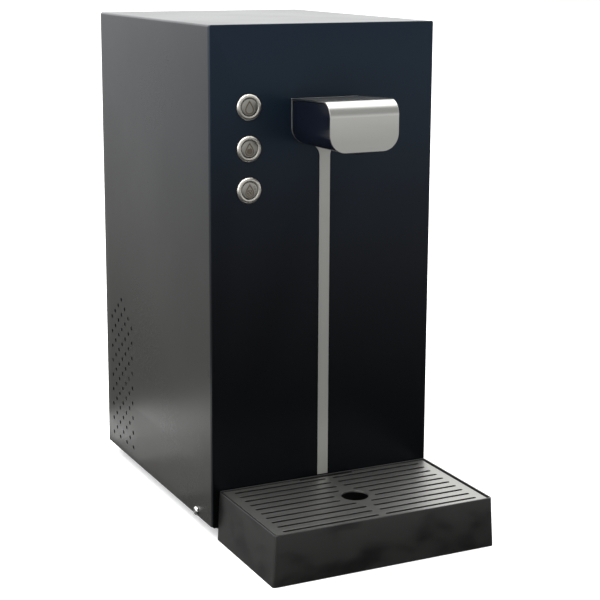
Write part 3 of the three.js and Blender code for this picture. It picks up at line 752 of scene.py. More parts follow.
FINISHES: dict[Slot, Finish] = {
    # Painted light: the front coat gets black painted shade low down and a painted blue reflection at the
    # top.
    Slot.FRONT: HeightShadedCoat(
        "front_powder_coat", (0.003, 0.0026, 0.003), 0.3, specular=0.26, gleam=(0.68, 0.83, 1),
        tint=(0.0024, 0.0021, 0.0025), low=(0.0008, 0.0008, 0.0008), painted_top_light=(0.0034, 0.0078, 0.0145),
    ),
    # Painted light: the cover coat gets a darker blue-grey painted shade towards the top of its sides.
    Slot.COVER: HeightShadedCoat(
        "cover_powder_coat", (0.0165, 0.0168, 0.0158), 0.28, specular=0.5, tint=(0.0138, 0.0141, 0.0132),
        low=(0.0165, 0.0165, 0.0145), painted_top_light=(0.009, 0.0115, 0.014),
    ),
    Slot.STAINLESS: BrushedMetal("brushed_stainless", (0.58, 0.58, 0.555), 0.24, 1.0, depth=0.00001),
    Slot.BUTTON: BrushedMetal("satin_button", (0.42, 0.41, 0.37), 0.36, 1.0, grain=0.06),
    Slot.CHROME: Polished("chrome_plate", (0.72, 0.72, 0.7), 0.12, 1.0),
    Slot.GRATE: BrushedMetal("grate_steel", (0.29, 0.29, 0.277), 0.44, 1.0, grain=0.16),
    Slot.TRAY: Moulded("tray_moulding", (0.0098, 0.0095, 0.0087), 0.4, specular=0.9, marks=1.0),
    # The spout's blue-black tint is a painted reflection of the blue-black front panel.
    Slot.SPOUT: Moulded("spout_moulding", (0.003, 0.0042, 0.0085), 0.2, depth=0.00001, marks=0.2),
    Slot.RUBBER: Moulded("rubber", (0.012, 0.012, 0.012), 0.8, grain=700, depth=0.00008),
    Slot.GALVANISED: Galvanised("galvanised_sheet", (0.5, 0.52, 0.53), 0.42, 0.95),
    Slot.COMPRESSOR: PowderCoat(
        "compressor_enamel", (0.007, 0.007, 0.008), 0.32, tint=(0.005, 0.005, 0.005)
    ),
    Slot.COPPER: Tarnished("copper_tube", (0.78, 0.36, 0.2), 0.26, 1.0, patina=(0.28, 0.11, 0.06)),
    Slot.ALUMINIUM: Tarnished("aluminium_fins", (0.72, 0.73, 0.74), 0.38, 1.0, patina=(0.5, 0.5, 0.5)),
    Slot.FOAM: BeadFoam("bead_foam", (0.6, 0.6, 0.57), 0.85),
    Slot.PLASTIC: Moulded("black_moulding", (0.009, 0.0092, 0.0095), 0.45),
    Slot.WHITE: Moulded("white_moulding", (0.7, 0.7, 0.66), 0.45, marks=0.1),
    Slot.HOSE: Moulded("clear_hose", (0.6, 0.66, 0.68), 0.25, grain=400, marks=0.15),
    Slot.BRASS: Tarnished("turned_brass", (0.72, 0.53, 0.25), 0.28, 1.0, patina=(0.3, 0.2, 0.09)),
    Slot.BOARD: CircuitBoard("solder_mask", (0.012, 0.11, 0.045), 0.35),
}


@dataclass(frozen=True)
class Piece:
    """What a piece is called, what it rides on and stands for, and its slot."""

    name: str
    slot: Slot
    replaces: tuple[str, ...] = ()
    body: Body = Body.CABINET
    edge: float = 0.25
    finish: Finish | None = None


class Bench:
    """Where forms become finished pieces."""

    def __init__(self) -> None:
        """Starts with no materials made."""
        self.made: dict[Finish, bpy.types.Material] = {}

    def material(self, finish: Finish) -> bpy.types.Material:
        """The material of a finish, made once."""
        if finish not in self.made:
            self.made[finish] = finish.material()
        return self.made[finish]

    def finish(self, shape: Shape, piece: Piece) -> bpy.types.Object:
        """Makes a form a finished piece on its body.

        Args:
            shape: The form, which is used up.
            piece: What the piece is.

        Returns:
            The piece's object.
        """
        bmesh.ops.remove_doubles(shape.mesh, verts=shape.mesh.verts, dist=0.0005)
        open_edges = sum(not edge.is_manifold for edge in shape.mesh.edges)
        if open_edges:
            LOG.warning("%s has %d open edges", piece.name, open_edges)
        shape.transformed(Matrix.Scale(MM, 4))
        mesh = bpy.data.meshes.new(piece.name)
        shape.mesh.to_mesh(mesh)
        shape.mesh.free()
        item = bpy.data.objects.new(piece.name, mesh)
        bpy.context.scene.collection.objects.link(item)
        mesh.shade_smooth()
        mesh.set_sharp_from_angle(angle=SHARP_ANGLE)
        if piece.edge:
            self.soften(item, piece.edge)
        mesh.materials.append(self.material(piece.finish or FINISHES[piece.slot]))
        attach(item, piece.body.value)
        if piece.replaces:
            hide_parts(*piece.replaces)
        LOG.info("%s on %s, %d faces", piece.name, piece.body.value, len(mesh.polygons))
        return item

    def soften(self, item: bpy.types.Object, radius: float) -> None:
        """Rounds a piece's sharp edges a little, as a real edge is."""
        bevel = item.modifiers.new("edge", "BEVEL")
        bevel.width = radius * MM
        bevel.segments = 2
        bevel.limit_method = "ANGLE"
        bevel.angle_limit = SHARP_ANGLE
        bevel.use_clamp_overlap = False
        bevel.harden_normals = True

    def dress_frame(self) -> None:
        """Gives every node of the frame the finish of its slot."""
        for row in frame["record"]["subparts"]:
            mesh = frame["nodes"][row["node"]].data
            mesh.materials.clear()
            mesh.materials.append(self.material(FINISHES[Slot(row["material_slot"])]))


# ---- Cabinet -------------------------------------------------------------------------


@dataclass
class Cabinet:
    """The sheet-metal shell, its screws and its feet."""

    bench: Bench
    cover_sheet: float = 1.2
    cover_bend: float = 2.0
    rear_bend: float = 1.6
    flange: float = 12.0
    panel_sheet: float = 1.5
    panel_corner: float = 1.5
    panel_edge: float = 0.8
    barrel_hole: float = 9.8
    tube_hole: float = 7.0
    tube_height: float = 366.0
    vent_radius: float = 1.95
    vent_columns: int = 7
    vent_pitch: Pair = (9.3, 14.93)
    vent_start: Pair = (167.8, 23.0)
    vent_sides: int = 16

    def vent_places(self) -> list[Pair]:
        """The places of the vents on a side, in staggered columns with a pointed top."""
        places = []
        for column in range(self.vent_columns):
            y = self.vent_start[0] - column * self.vent_pitch[0]
            lowest = self.vent_start[1] + (column % 2) * self.vent_pitch[1] / 2
            count = 10 if abs(column - self.vent_columns // 2) <= 1 else 9
            places += [(y, lowest + row * self.vent_pitch[1]) for row in range(count)]
        return places

    def build(self) -> None:
        """Makes every piece of the shell."""
        self.make_wrap_cover()
        self.make_front_panel()
        self.make_rear_panel()
        self.make_base_plate()
        self.make_screws()
        self.make_feet()

    def make_wrap_cover(self) -> None:
        """One bent sheet: both sides, the top and a flange round the rear."""
        box = Box.of("wrap_cover")
        sheet = self.cover_sheet
        side = box.x[1]
        rear, top = box.y[1], box.z[1]
        shell = Shape.block(box.x, box.y, box.z)
        shell.rounded(self.cover_bend, lambda e: runs_along(e, Axis.Y) and middle_of(e).z > top / 2)
        behind = lambda e: on_plane(e, Axis.Y, rear) and middle_of(e).z > box.z[0] + 1
        shell.rounded(self.rear_bend, behind, 4)
        inner = side - sheet
        low = box.z[0] - PAST
        hollow = Shape.block(about(0, inner), (box.y[0] - PAST, rear - sheet), (low, top - sheet))
        window = Shape.block(about(0, side - self.flange), about(rear, PAST), (low - 1, top - self.flange))
        across = about(0, side + 2)
        vents = [self.vent(side, at) for at in self.vent_places()]
        screw = Box.of("side_screw_left").middle
        vents.append(Shape.rod(Axis.X, 2.3, across, (screw.y, screw.z), 20))
        shell.cut(hollow, window, Shape.group(*vents))
        self.bench.finish(shell, Piece("wrap_cover_sheet", Slot.COVER, ("wrap_cover",), edge=0.06))

    def vent(self, side: float, at: Pair) -> Shape:
        """A cutter for a vent in both sides, which opens out behind the sheet's face."""
        profile = [(0, -side - 2), (self.vent_radius, -side - 2), (self.vent_radius, -side + 0.2)]
        profile += [(self.vent_radius + 1, -side + 0.5), (self.vent_radius + 1, 0)]
        mirrored = [(radius, -along) for radius, along in reversed(profile[:-1])]
        return Shape.turned(profile + mirrored, Axis.X, at, self.vent_sides)

    def front_holes(self, span: Pair) -> list[Shape]:
        """Cutters for the three buttons and the spout's tube."""
        holes = [Shape.rod(Axis.Y, self.tube_hole, span, (0, self.tube_height), 32)]
        for number in (1, 2, 3):
            middle = Box.of(f"button_{number}_cap").middle
            holes.append(Shape.rod(Axis.Y, self.barrel_hole, span, (middle.x, middle.z)))
        return holes

    def make_front_panel(self) -> None:
        """A shallow pan with its edges turned back."""
        box = Box.of("front_panel")
        sheet = self.panel_sheet
        front = box.y[0]
        pan = Shape.block(box.x, box.y, box.z)
        pan.rounded(self.panel_corner, lambda e: runs_along(e, Axis.Y))
        pan.rounded(self.panel_edge, lambda e: on_plane(e, Axis.Y, front), 4)
        pocket = Shape.block(grown(box.x, -sheet), (front + sheet, box.y[1] + PAST), grown(box.z, -sheet))
        holes = Shape.group(*self.front_holes(grown(box.y, PAST)))
        pan.cut(pocket, holes)
        self.bench.finish(pan, Piece("front_panel_pan", Slot.FRONT, ("front_panel",), edge=0.12))

    def make_rear_panel(self) -> None:
        """A flat sheet behind the flange, cut for the fittings."""
        box = Box.of("rear_panel")
        through = grown(box.y, PAST)
        sheet = Shape.block(box.x, box.y, box.z)
        holes = []
        stems = (("water_inlet", 7, 32), ("co2_inlet", 7, 32), ("thermostat_knob", 4, 24))
        for node, radius, steps in stems:
            middle = Box.of(node).middle
            holes.append(Shape.rod(Axis.Y, radius, through, (middle.x, middle.z), steps))
        mains = Box.of("mains_inlet")
        lip = 2.7
        holes.append(Shape.block(grown(mains.x, -lip), through, grown(mains.z, -lip)))
        sheet.cut(Shape.group(*holes))
        self.bench.finish(sheet, Piece("rear_panel_sheet", Slot.COVER, ("rear_panel",), edge=0.12))

    def make_base_plate(self) -> None:
        """The floor of the cabinet, turned up at its sides."""
        box = Box.of("base_plate")
        sheet = self.panel_sheet
        tray = Shape.block(box.x, box.y, box.z)
        tray.rounded(1.5, lambda e: runs_along(e, Axis.Y) and middle_of(e).z < box.z[0] + 1, 4)
        above = (box.z[0] + sheet, box.z[1] + PAST)
        inside = Shape.block(grown(box.x, -sheet), grown(box.y, PAST), above)
        frame_end = Box.of("front_frame").y[1] + 1
        front = Shape.block(grown(box.x, PAST), (box.y[0] - PAST, frame_end), above)
        tray.cut(inside, front)
        self.bench.finish(tray, Piece("base_plate_tray", Slot.GALVANISED, ("base_plate",), edge=0.15))

    def screw(self) -> Shape:
        """A pan-head screw along +Z, its seat at 0, with a cross recess."""
        profile = [
            (0, -6), (1.3, -6), (1.5, -5.6), (1.5, 0.3), (4, 0.3), (3.95, 1.1), (3.6, 1.8),
            (2.9, 2.35), (1.8, 2.62), (0, 2.7),
        ]
        head = Shape.turned(profile, Axis.Z, (0, 0), 32)
        wide, narrow = 1.9, 0.42
        for x, y in ((wide, narrow), (narrow, wide)):
            head.cut(Shape.tapered(about(0, x / 2), about(0, y / 2), about(0, x), about(0, y), (1.2, 3.2)))
        return head

    def make_screws(self) -> None:
        """The two side screws and the four rear ones."""
        cover = Box.of("wrap_cover")
        sides = (("left", -1), ("right", 1))
        places = [(f"side_screw_{name}", sign * Axis.X.vector) for name, sign in sides]
        places += [(f"rear_screw_{number}", Axis.Y.vector) for number in (1, 2, 3, 4)]
        for node, outwards in places:
            at = Box.of(node).middle
            if outwards.x:
                at.x = outwards.x * cover.x[1]
            else:
                at.y = cover.y[1]
            turn = Axis.Z.vector.rotation_difference(outwards).to_matrix().to_4x4()
            screw = self.screw().transformed(Matrix.Translation(at) @ turn)
            self.bench.finish(screw, Piece(f"{node}_head", Slot.CHROME, (node,), edge=0.1))

    def make_feet(self) -> None:
        """Four rubber feet with a sunk fixing hole."""
        for end in ("front", "rear"):
            for side in ("left", "right"):
                node = f"foot_{end}_{side}"
                box = Box.of(node)
                top = box.z[1]
                profile = [
                    (0, 4), (3.2, 4), (3.2, 1.6), (4.4, 0), (9.6, 0), (10.6, 0.4), (11.2, 1.4),
                    (12.5, top - 1.5), (12.5, top), (0, top),
                ]
                foot = Shape.turned(profile, Axis.Z, (box.middle.x, box.middle.y))
                self.bench.finish(foot, Piece(f"{node}_pad", Slot.RUBBER, (node,), edge=0.3))


# ---- Spout ---------------------------------------------------------------------------


@dataclass
class Spout:
    """The hooded spout: a T-shaped back plate, a bent cover, a black body and its nozzle."""

    bench: Bench
    half_width: float = 31.5
    corner: float = 14.5
    bend: float = 13.0
    bend_steps: int = 16
    sheet: float = 1.5
    seam: float = 0.3
    wall: float = 2.2
    strip: float = 5.0
    fillet: float = 11.5

    def build(self) -> None:
        """Makes every piece of the spout."""
        self.make_back_plate()
        self.make_cover()
        self.make_body()
        self.make_nozzle()

    def make_back_plate(self) -> None:
        """The plate behind the hood, running down as a narrow strip."""
        box = Box.of("spout_back_plate")
        half = box.x[1]
        foot, top = box.z
        hood = Box.of("spout_body").z[0]
        corners = [
            (-half, top), (-half, hood), (-self.strip, hood), (-self.strip, foot),
            (self.strip, foot), (self.strip, hood), (half, hood), (half, top),
        ]
        plate = Shape.prism(corners, Axis.Y, box.y)

        def at(edge: BMEdge, x: float) -> bool:
            """Whether an edge goes through the plate at the hood's height."""
            middle = middle_of(edge)
            return runs_along(edge, Axis.Y) and abs(middle.z - hood) < 0.1 and abs(abs(middle.x) - x) < 0.1

        plate.rounded(self.corner, lambda e: at(e, half), 14)
        plate.rounded(self.fillet, lambda e: at(e, self.strip), 14)
        plate.cut(Shape.rod(Axis.Y, Cabinet.tube_hole, grown(box.y, PAST), (0, Cabinet.tube_height), 32))
        upright = BrushedMetal("upright_stainless", (0.62, 0.62, 0.59), 0.42, 1.0, along=Axis.Z)
        name = "spout_back_plate"
        self.bench.finish(plate, Piece(f"{name}_sheet", Slot.STAINLESS, (name,), edge=0.08, finish=upright))

    def hood(
        self, top: float = 0, front: float = 0, side: float = 0, bottom: float = 0, back: float = 0
    ) -> Shape:
        """The hood's form with its faces moved in.

        Args:
            top: How far the top comes down.
            front: How far the front goes back.
            side: How far the sides come in.
            bottom: How far the bottom goes up.
            back: How far the form goes on past its back.

        Returns:
            The form.
        """
        box = Box.of("spout_cover")
        half = self.half_width - side
        y = (box.y[0] + front, box.y[1] + back)
        z = (box.z[0] + bottom, box.z[1] - top)
        form = self.rising_block(half, y, z, self.bend - front)
        lower = lambda e: runs_along(e, Axis.Y) and on_plane(e, Axis.Z, z[0])
        return form.rounded(self.corner - side, lower, 14)

    def rising_block(self, half: float, y: Pair, z: Pair, bend: float) -> Shape:
        """A block whose top rises to a bend along its front.

        Args:
            half: Half its width.
            y: Where it lies on Y.
            z: Its bottom and the height of its top at the bend.
            bend: The radius of the bend.

        Returns:
            The block.
        """
        box = Box.of("spout_cover")
        start = box.y[0] + self.bend
        fall = (box.z[1] - Box.of("spout_back_plate").z[1]) / (box.y[1] - start)
        arc = []
        for step in range(self.bend_steps + 1):
            angle = math.pi / 2 * step / self.bend_steps
            arc.append((start - bend * math.sin(angle), z[1] - bend * (1 - math.cos(angle))))
        corners = [(y[1], z[0]), (y[1], z[1] - fall * (y[1] - start)), *arc, (y[0], z[0])]
        return Shape.prism(corners, Axis.X, about(0, half))

    def make_cover(self) -> None:
        """A stainless sheet bent over the top and down the front."""
        box = Box.of("spout_cover")
        y = (box.y[0] + self.sheet, box.y[1] + PAST)
        z = (box.z[0] - PAST, box.z[1] - self.sheet)
        cover = self.hood().cut(self.rising_block(self.half_width + PAST, y, z, self.bend - self.sheet))
        self.bench.finish(cover, Piece("spout_cover_sheet", Slot.STAINLESS, ("spout_cover",)))

    def make_body(self) -> None:
        """The moulded body under the cover, hollow and open at its back."""
        skin = self.sheet + self.seam
        inner = skin + self.wall
        side = 0.5
        nozzle = Box.of("nozzle").middle
        body = self.hood(skin, skin, side)
        body.cut(self.hood(inner, inner, side + self.wall, self.wall, PAST))
        low = Box.of("spout_body").z[0]
        body.cut(Shape.rod(Axis.Z, 8.5, about(low, PAST), (nozzle.x, nozzle.y)))
        self.bench.finish(body, Piece("spout_body_moulding", Slot.SPOUT, ("spout_body",), edge=0.4))

    def make_nozzle(self) -> None:
        """The round outlet under the hood."""
        box = Box.of("nozzle")
        tip, top = box.z
        seat = top - 9
        profile = [
            (4, tip + 0.6), (4.6, tip), (6.8, tip), (7.7, tip + 0.5), (8.2, tip + 1.4), (8.2, seat),
            (11, seat), (11, seat + 2), (7, seat + 2), (7, top), (4, top),
        ]
        nozzle = Shape.turned(profile, Axis.Z, (box.middle.x, box.middle.y))
        self.bench.finish(nozzle, Piece("nozzle_moulding", Slot.SPOUT, ("nozzle",), edge=0.15))


# ---- Buttons -------------------------------------------------------------------------


class Water(Enum):
    """What a button serves, which its drop mark shows."""

    AMBIENT = 1
    CHILLED = 2
    SPARKLING = 3


@dataclass
class Buttons:
    """Three push buttons, each a plated bezel round a satin cap with a drop mark."""

    bench: Bench
    cap_radius: float = 7.3
    drop_height: float = 11.8
    drop_width: float = 8.6
    line: float = 1.15
    sunk: float = 0.25
    points: int = 40
    inner_bubbles: tuple[Triple, ...] = (
        (-1.5, -1.2, 0.5), (0.4, -0.5, 0.6), (1.5, -1.9, 0.45), (-0.5, -2.6, 0.5), (0.8, -3.5, 0.4),
    )
    rising_bubbles: tuple[Triple, ...] = (
        (4.8, 1.1, 0.55), (5.5, -0.9, 0.45), (4.0, 3.1, 0.45), (5.2, -2.7, 0.4),
    )

    def build(self) -> None:
        """Makes the three buttons."""
        for water in Water:
            self.make_bezel(water.value)
            self.make_cap(water)
            self.make_nut(water.value)

    def facing(self, profile: list[Pair], number: int, steps: int = 64) -> Shape:
        """A turned form whose profile's 0 is on the front panel and goes out to the front."""
        middle = Box.of(f"button_{number}_cap").middle
        front = Box.of("front_panel").y[0]
        outwards = [(radius, -along) for radius, along in profile]
        return Shape.turned(outwards, Axis.Y, (middle.x, middle.z), steps).moved(y=front)

    def make_bezel(self, number: int) -> None:
        """The housing: a bright bevelled ring in front of a barrel."""
        bore = self.cap_radius + 0.25
        profile = [
            (0, -34), (6.5, -34), (6.5, -22), (9.5, -22), (9.5, 0.3), (11, 0.3), (11, 0.8), (10.75, 1.25),
            (10.1, 1.8), (9.2, 2.15), (8.4, 2.2), (bore + 0.1, 1.9), (bore, 1.6), (bore, -6), (5.75, -6),
            (5.75, -21), (0, -21),
        ]
        plate = Polished("bezel_plate", (0.78, 0.755, 0.69), 0.38, 1.0)
        node = f"button_{number}_housing"
        piece = Piece(f"button_{number}_bezel", Slot.CHROME, (node,), edge=0.06, finish=plate)
        self.bench.finish(self.facing(profile, number), piece)

    def drop(self, span: Pair, at: Vector, shrink: float = 0.0) -> Shape:
        """A drop's outline drawn out along Y.

        Args:
            span: Where it starts and ends on Y.
            at: The middle of the cap.
            shrink: How far its outline is moved in.

        Returns:
            The drop.
        """
        wide = self.drop_width / 2 - shrink
        tall = self.drop_height / 2 - shrink * 1.35
        corners = []
        for step in range(self.points):
            angle = 2 * math.pi * step / self.points
            swell = math.sin(angle / 2) ** 1.35
            x = at.x + 1.3 * wide * math.sin(angle) * swell
            corners.append((x, at.z + tall * math.cos(angle) - 0.35 * shrink))
        return Shape.prism(corners, Axis.Y, span)

    def filling(self, water: Water, span: Pair, at: Vector) -> Shape | None:
        """What fills the drop: nothing, a wavy level, or a level full of bubbles.

        Args:
            water: What the button serves.
            span: Where the mark starts and ends on Y.
            at: The middle of the cap.

        Returns:
            The filling, or None.
        """
        if water is Water.AMBIENT:
            return None
        level, ripple, steps = 0.6, 0.35, 16
        reach = self.drop_width
        across = [reach * (0.5 - step / steps) for step in range(steps + 1)]
        top = [(at.x + x, at.z + level + ripple * math.sin(2.2 * x)) for x in across]
        deep = grown(span, 1)
        foot = [(x, at.z - 8) for x in about(at.x, reach / 2)]
        below = Shape.prism([*foot, *top], Axis.Y, deep)
        fill = self.drop(span, at, self.line + 0.35).combined(Operation.CROSS, below)
        if water is Water.SPARKLING:
            fill.cut(Shape.group(*self.bubbles(self.inner_bubbles, deep, at, 12)))
        return fill

    def bubbles(self, places: tuple[Triple, ...], span: Pair, at: Vector, steps: int) -> list[Shape]:
        """Round bubbles at places on a cap, each its X, its Z and its radius."""
        return [Shape.rod(Axis.Y, radius, span, (at.x + x, at.z + z), steps) for x, z, radius in places]

    def make_cap(self, water: Water) -> None:
        """The cap that is pressed, with its mark sunk and filled with enamel."""
        number = water.value
        node = f"button_{number}_cap"
        box = Box.of(node)
        face = box.y[0]
        radius = self.cap_radius
        profile = [
            (0, -17), (5.4, -17), (5.4, -3), (radius, -3), (radius, 1.5),
            (radius - 0.12, 1.78), (radius - 0.4, 1.9), (0, 1.9),
        ]
        cap = self.facing(profile, number)
        at = box.middle
        groove = (face - 1, face + self.sunk)
        outline = self.drop(groove, at).cut(self.drop((face - 2, face + 1), at, self.line))
        marks = [outline]
        fill = self.filling(water, groove, at)
        if fill:
            marks.append(fill)
        if water is Water.SPARKLING:
            marks += self.bubbles(self.rising_bubbles, groove, at, 14)
        cutters = Shape.group(*marks)
        filled = Shape.block(box.x, (face + 0.04, face + self.sunk), box.z)
        enamel = cutters.copied().combined(Operation.CROSS, filled)
        cap.cut(cutters)
        body = Body(f"button_{number}")
        self.bench.finish(cap, Piece(f"button_{number}_cap_face", Slot.BUTTON, (node,), body, edge=0.0))
        ink = Moulded("mark_enamel", (0.06, 0.047, 0.032), 0.5, marks=0.2)
        mark = Piece(f"button_{number}_mark", Slot.PLASTIC, (), body, edge=0.0, finish=ink)
        self.bench.finish(enamel, mark)

    def make_nut(self, number: int) -> None:
        """The lock nut behind the panel."""
        node = f"button_{number}_nut"
        box = Box.of(node)
        at = (box.middle.x, box.middle.z)
        nut = Shape.rod(Axis.Y, 13, box.y, at, 6)
        nut.cut(Shape.rod(Axis.Y, 9.7, grown(box.y, PAST), at))
        self.bench.finish(nut, Piece(f"button_{number}_lock_nut", Slot.BRASS, (node,), edge=0.4))


# ---- Drip tray -----------------------------------------------------------------------


@dataclass
class DripTray:
    """The loose tray and the slotted grate that lies in it."""

    bench: Bench
    lean: float = 2.3
    front_lean: float = 1.0
    corner: float = 2.5
    rim: float = 1.4
    wall: float = 3.4
    floor: float = 2.5
    rebate: float = 2.8
    slots: int = 10
    pitch: float = 10.73
    slot_width: float = 3.2
    land: float = 0.2
    undercut: float = 0.9
    slot_end: float = 91.0
    web: float = 6.6
    drain: float = 11.8
    drain_margin: float = 5.7
    clearance: Pair = (1.3, 0.3)
    notch: Pair = (52.0, 2.3)

    def build(self) -> None:
        """Makes the tray and its grate."""
        self.make_tray()
        self.make_grate()

    def leaning(self, inset: float, low: float, high: float) -> Shape:
        """A form that follows the tray's leaning walls.

        Args:
            inset: How far inside the tray's outside it stays.
            low: Its bottom.
            high: Its top.

        Returns:
            The form.
        """
        box = Box.of("drip_tray")

        def spans(height: float) -> tuple[Pair, Pair]:
            """The form's reach on X and Y at a height."""
            rise = height / box.z[1]
            x = grown(grown(box.x, -inset), -self.lean * rise)
            return x, (box.y[0] + inset + self.front_lean * rise, box.y[1] - inset)

        form = Shape.tapered(*spans(low), *spans(high), (low, high))
        upright = lambda e: abs(e.verts[0].co.z - e.verts[1].co.z) > 0.5
        return form.rounded(max(self.corner - inset, 0.8), upright, 6)

    def make_tray(self) -> None:
        """An open box whose walls lean in, with a ledge for the grate."""
        top = Box.of("drip_tray").z[1]
        tray = self.leaning(0, 0, top)
        tray.rounded(0.5, lambda e: on_plane(e, Axis.Z, 0), 3)
        ledge = self.leaning(self.rim, top - self.rebate, top + PAST)
        tray.cut(ledge, self.leaning(self.wall, self.floor, top + PAST - 1))
        self.bench.finish(tray, Piece("drip_tray_box", Slot.TRAY, ("drip_tray",), Body.TRAY, edge=0.35))

    def slot(self, x: Pair, y: float, z: Pair) -> Shape:
        """A cutter for a slot with round ends, which opens out below the grate's face."""
        half = self.slot_width / 2
        form = Shape.block(x, about(y, half), z)
        form.rounded(half - 0.01, lambda e: runs_along(e, Axis.Z), 6)
        face = Box.of("drip_grate").z[1] - self.land
        for height in (face, face - self.undercut):
            parts = form.mesh.verts[:] + form.mesh.edges[:] + form.mesh.faces[:]
            plane = {"plane_co": (0, 0, height), "plane_no": (0, 0, 1)}
            bmesh.ops.bisect_plane(form.mesh, geom=parts, dist=0.001, **plane)
        middle = (x[0] + x[1]) / 2
        for vert in form.mesh.verts:
            if vert.co.z < face - self.undercut / 2:
                vert.co.x += math.copysign(self.undercut, vert.co.x - middle)
                vert.co.y += math.copysign(self.undercut, vert.co.y - y)
        return form

    def make_grate(self) -> None:
        """A brushed plate with two rows of slots round a drain hole."""
        box = Box.of("drip_grate")
        middle = (box.middle.x, box.middle.y)
        through = grown(box.z, PAST)
        clear = self.drain + self.drain_margin
        cutters = [Shape.rod(Axis.Z, self.drain, through, middle, 64)]
        for row in range(self.slots):
            offset = (row - (self.slots - 1) / 2) * self.pitch
            inner = max(self.web / 2, math.sqrt(max(clear**2 - offset**2, 0)))
            for span in ((inner, self.slot_end), (-self.slot_end, -inner)):
                x = (middle[0] + span[0], middle[0] + span[1])
                cutters.append(self.slot(x, middle[1] + offset, through))
        notch = (box.y[1] - self.notch[1], box.y[1] + PAST)
        cutters.append(Shape.block(about(middle[0], self.notch[0] / 2), notch, through))
        side, end = self.clearance
        plate = Shape.block(grown(box.x, -side), grown(box.y, -end), box.z)
        plate.rounded(1.2, lambda e: runs_along(e, Axis.Z), 4)
        plate.cut(Shape.group(*cutters))
        piece = Piece("drip_grate_plate", Slot.GRATE, ("drip_grate",), Body.GRATE, edge=0.1)
        self.bench.finish(plate, piece)


# ---- Rear fittings -------------------------------------------------------------------


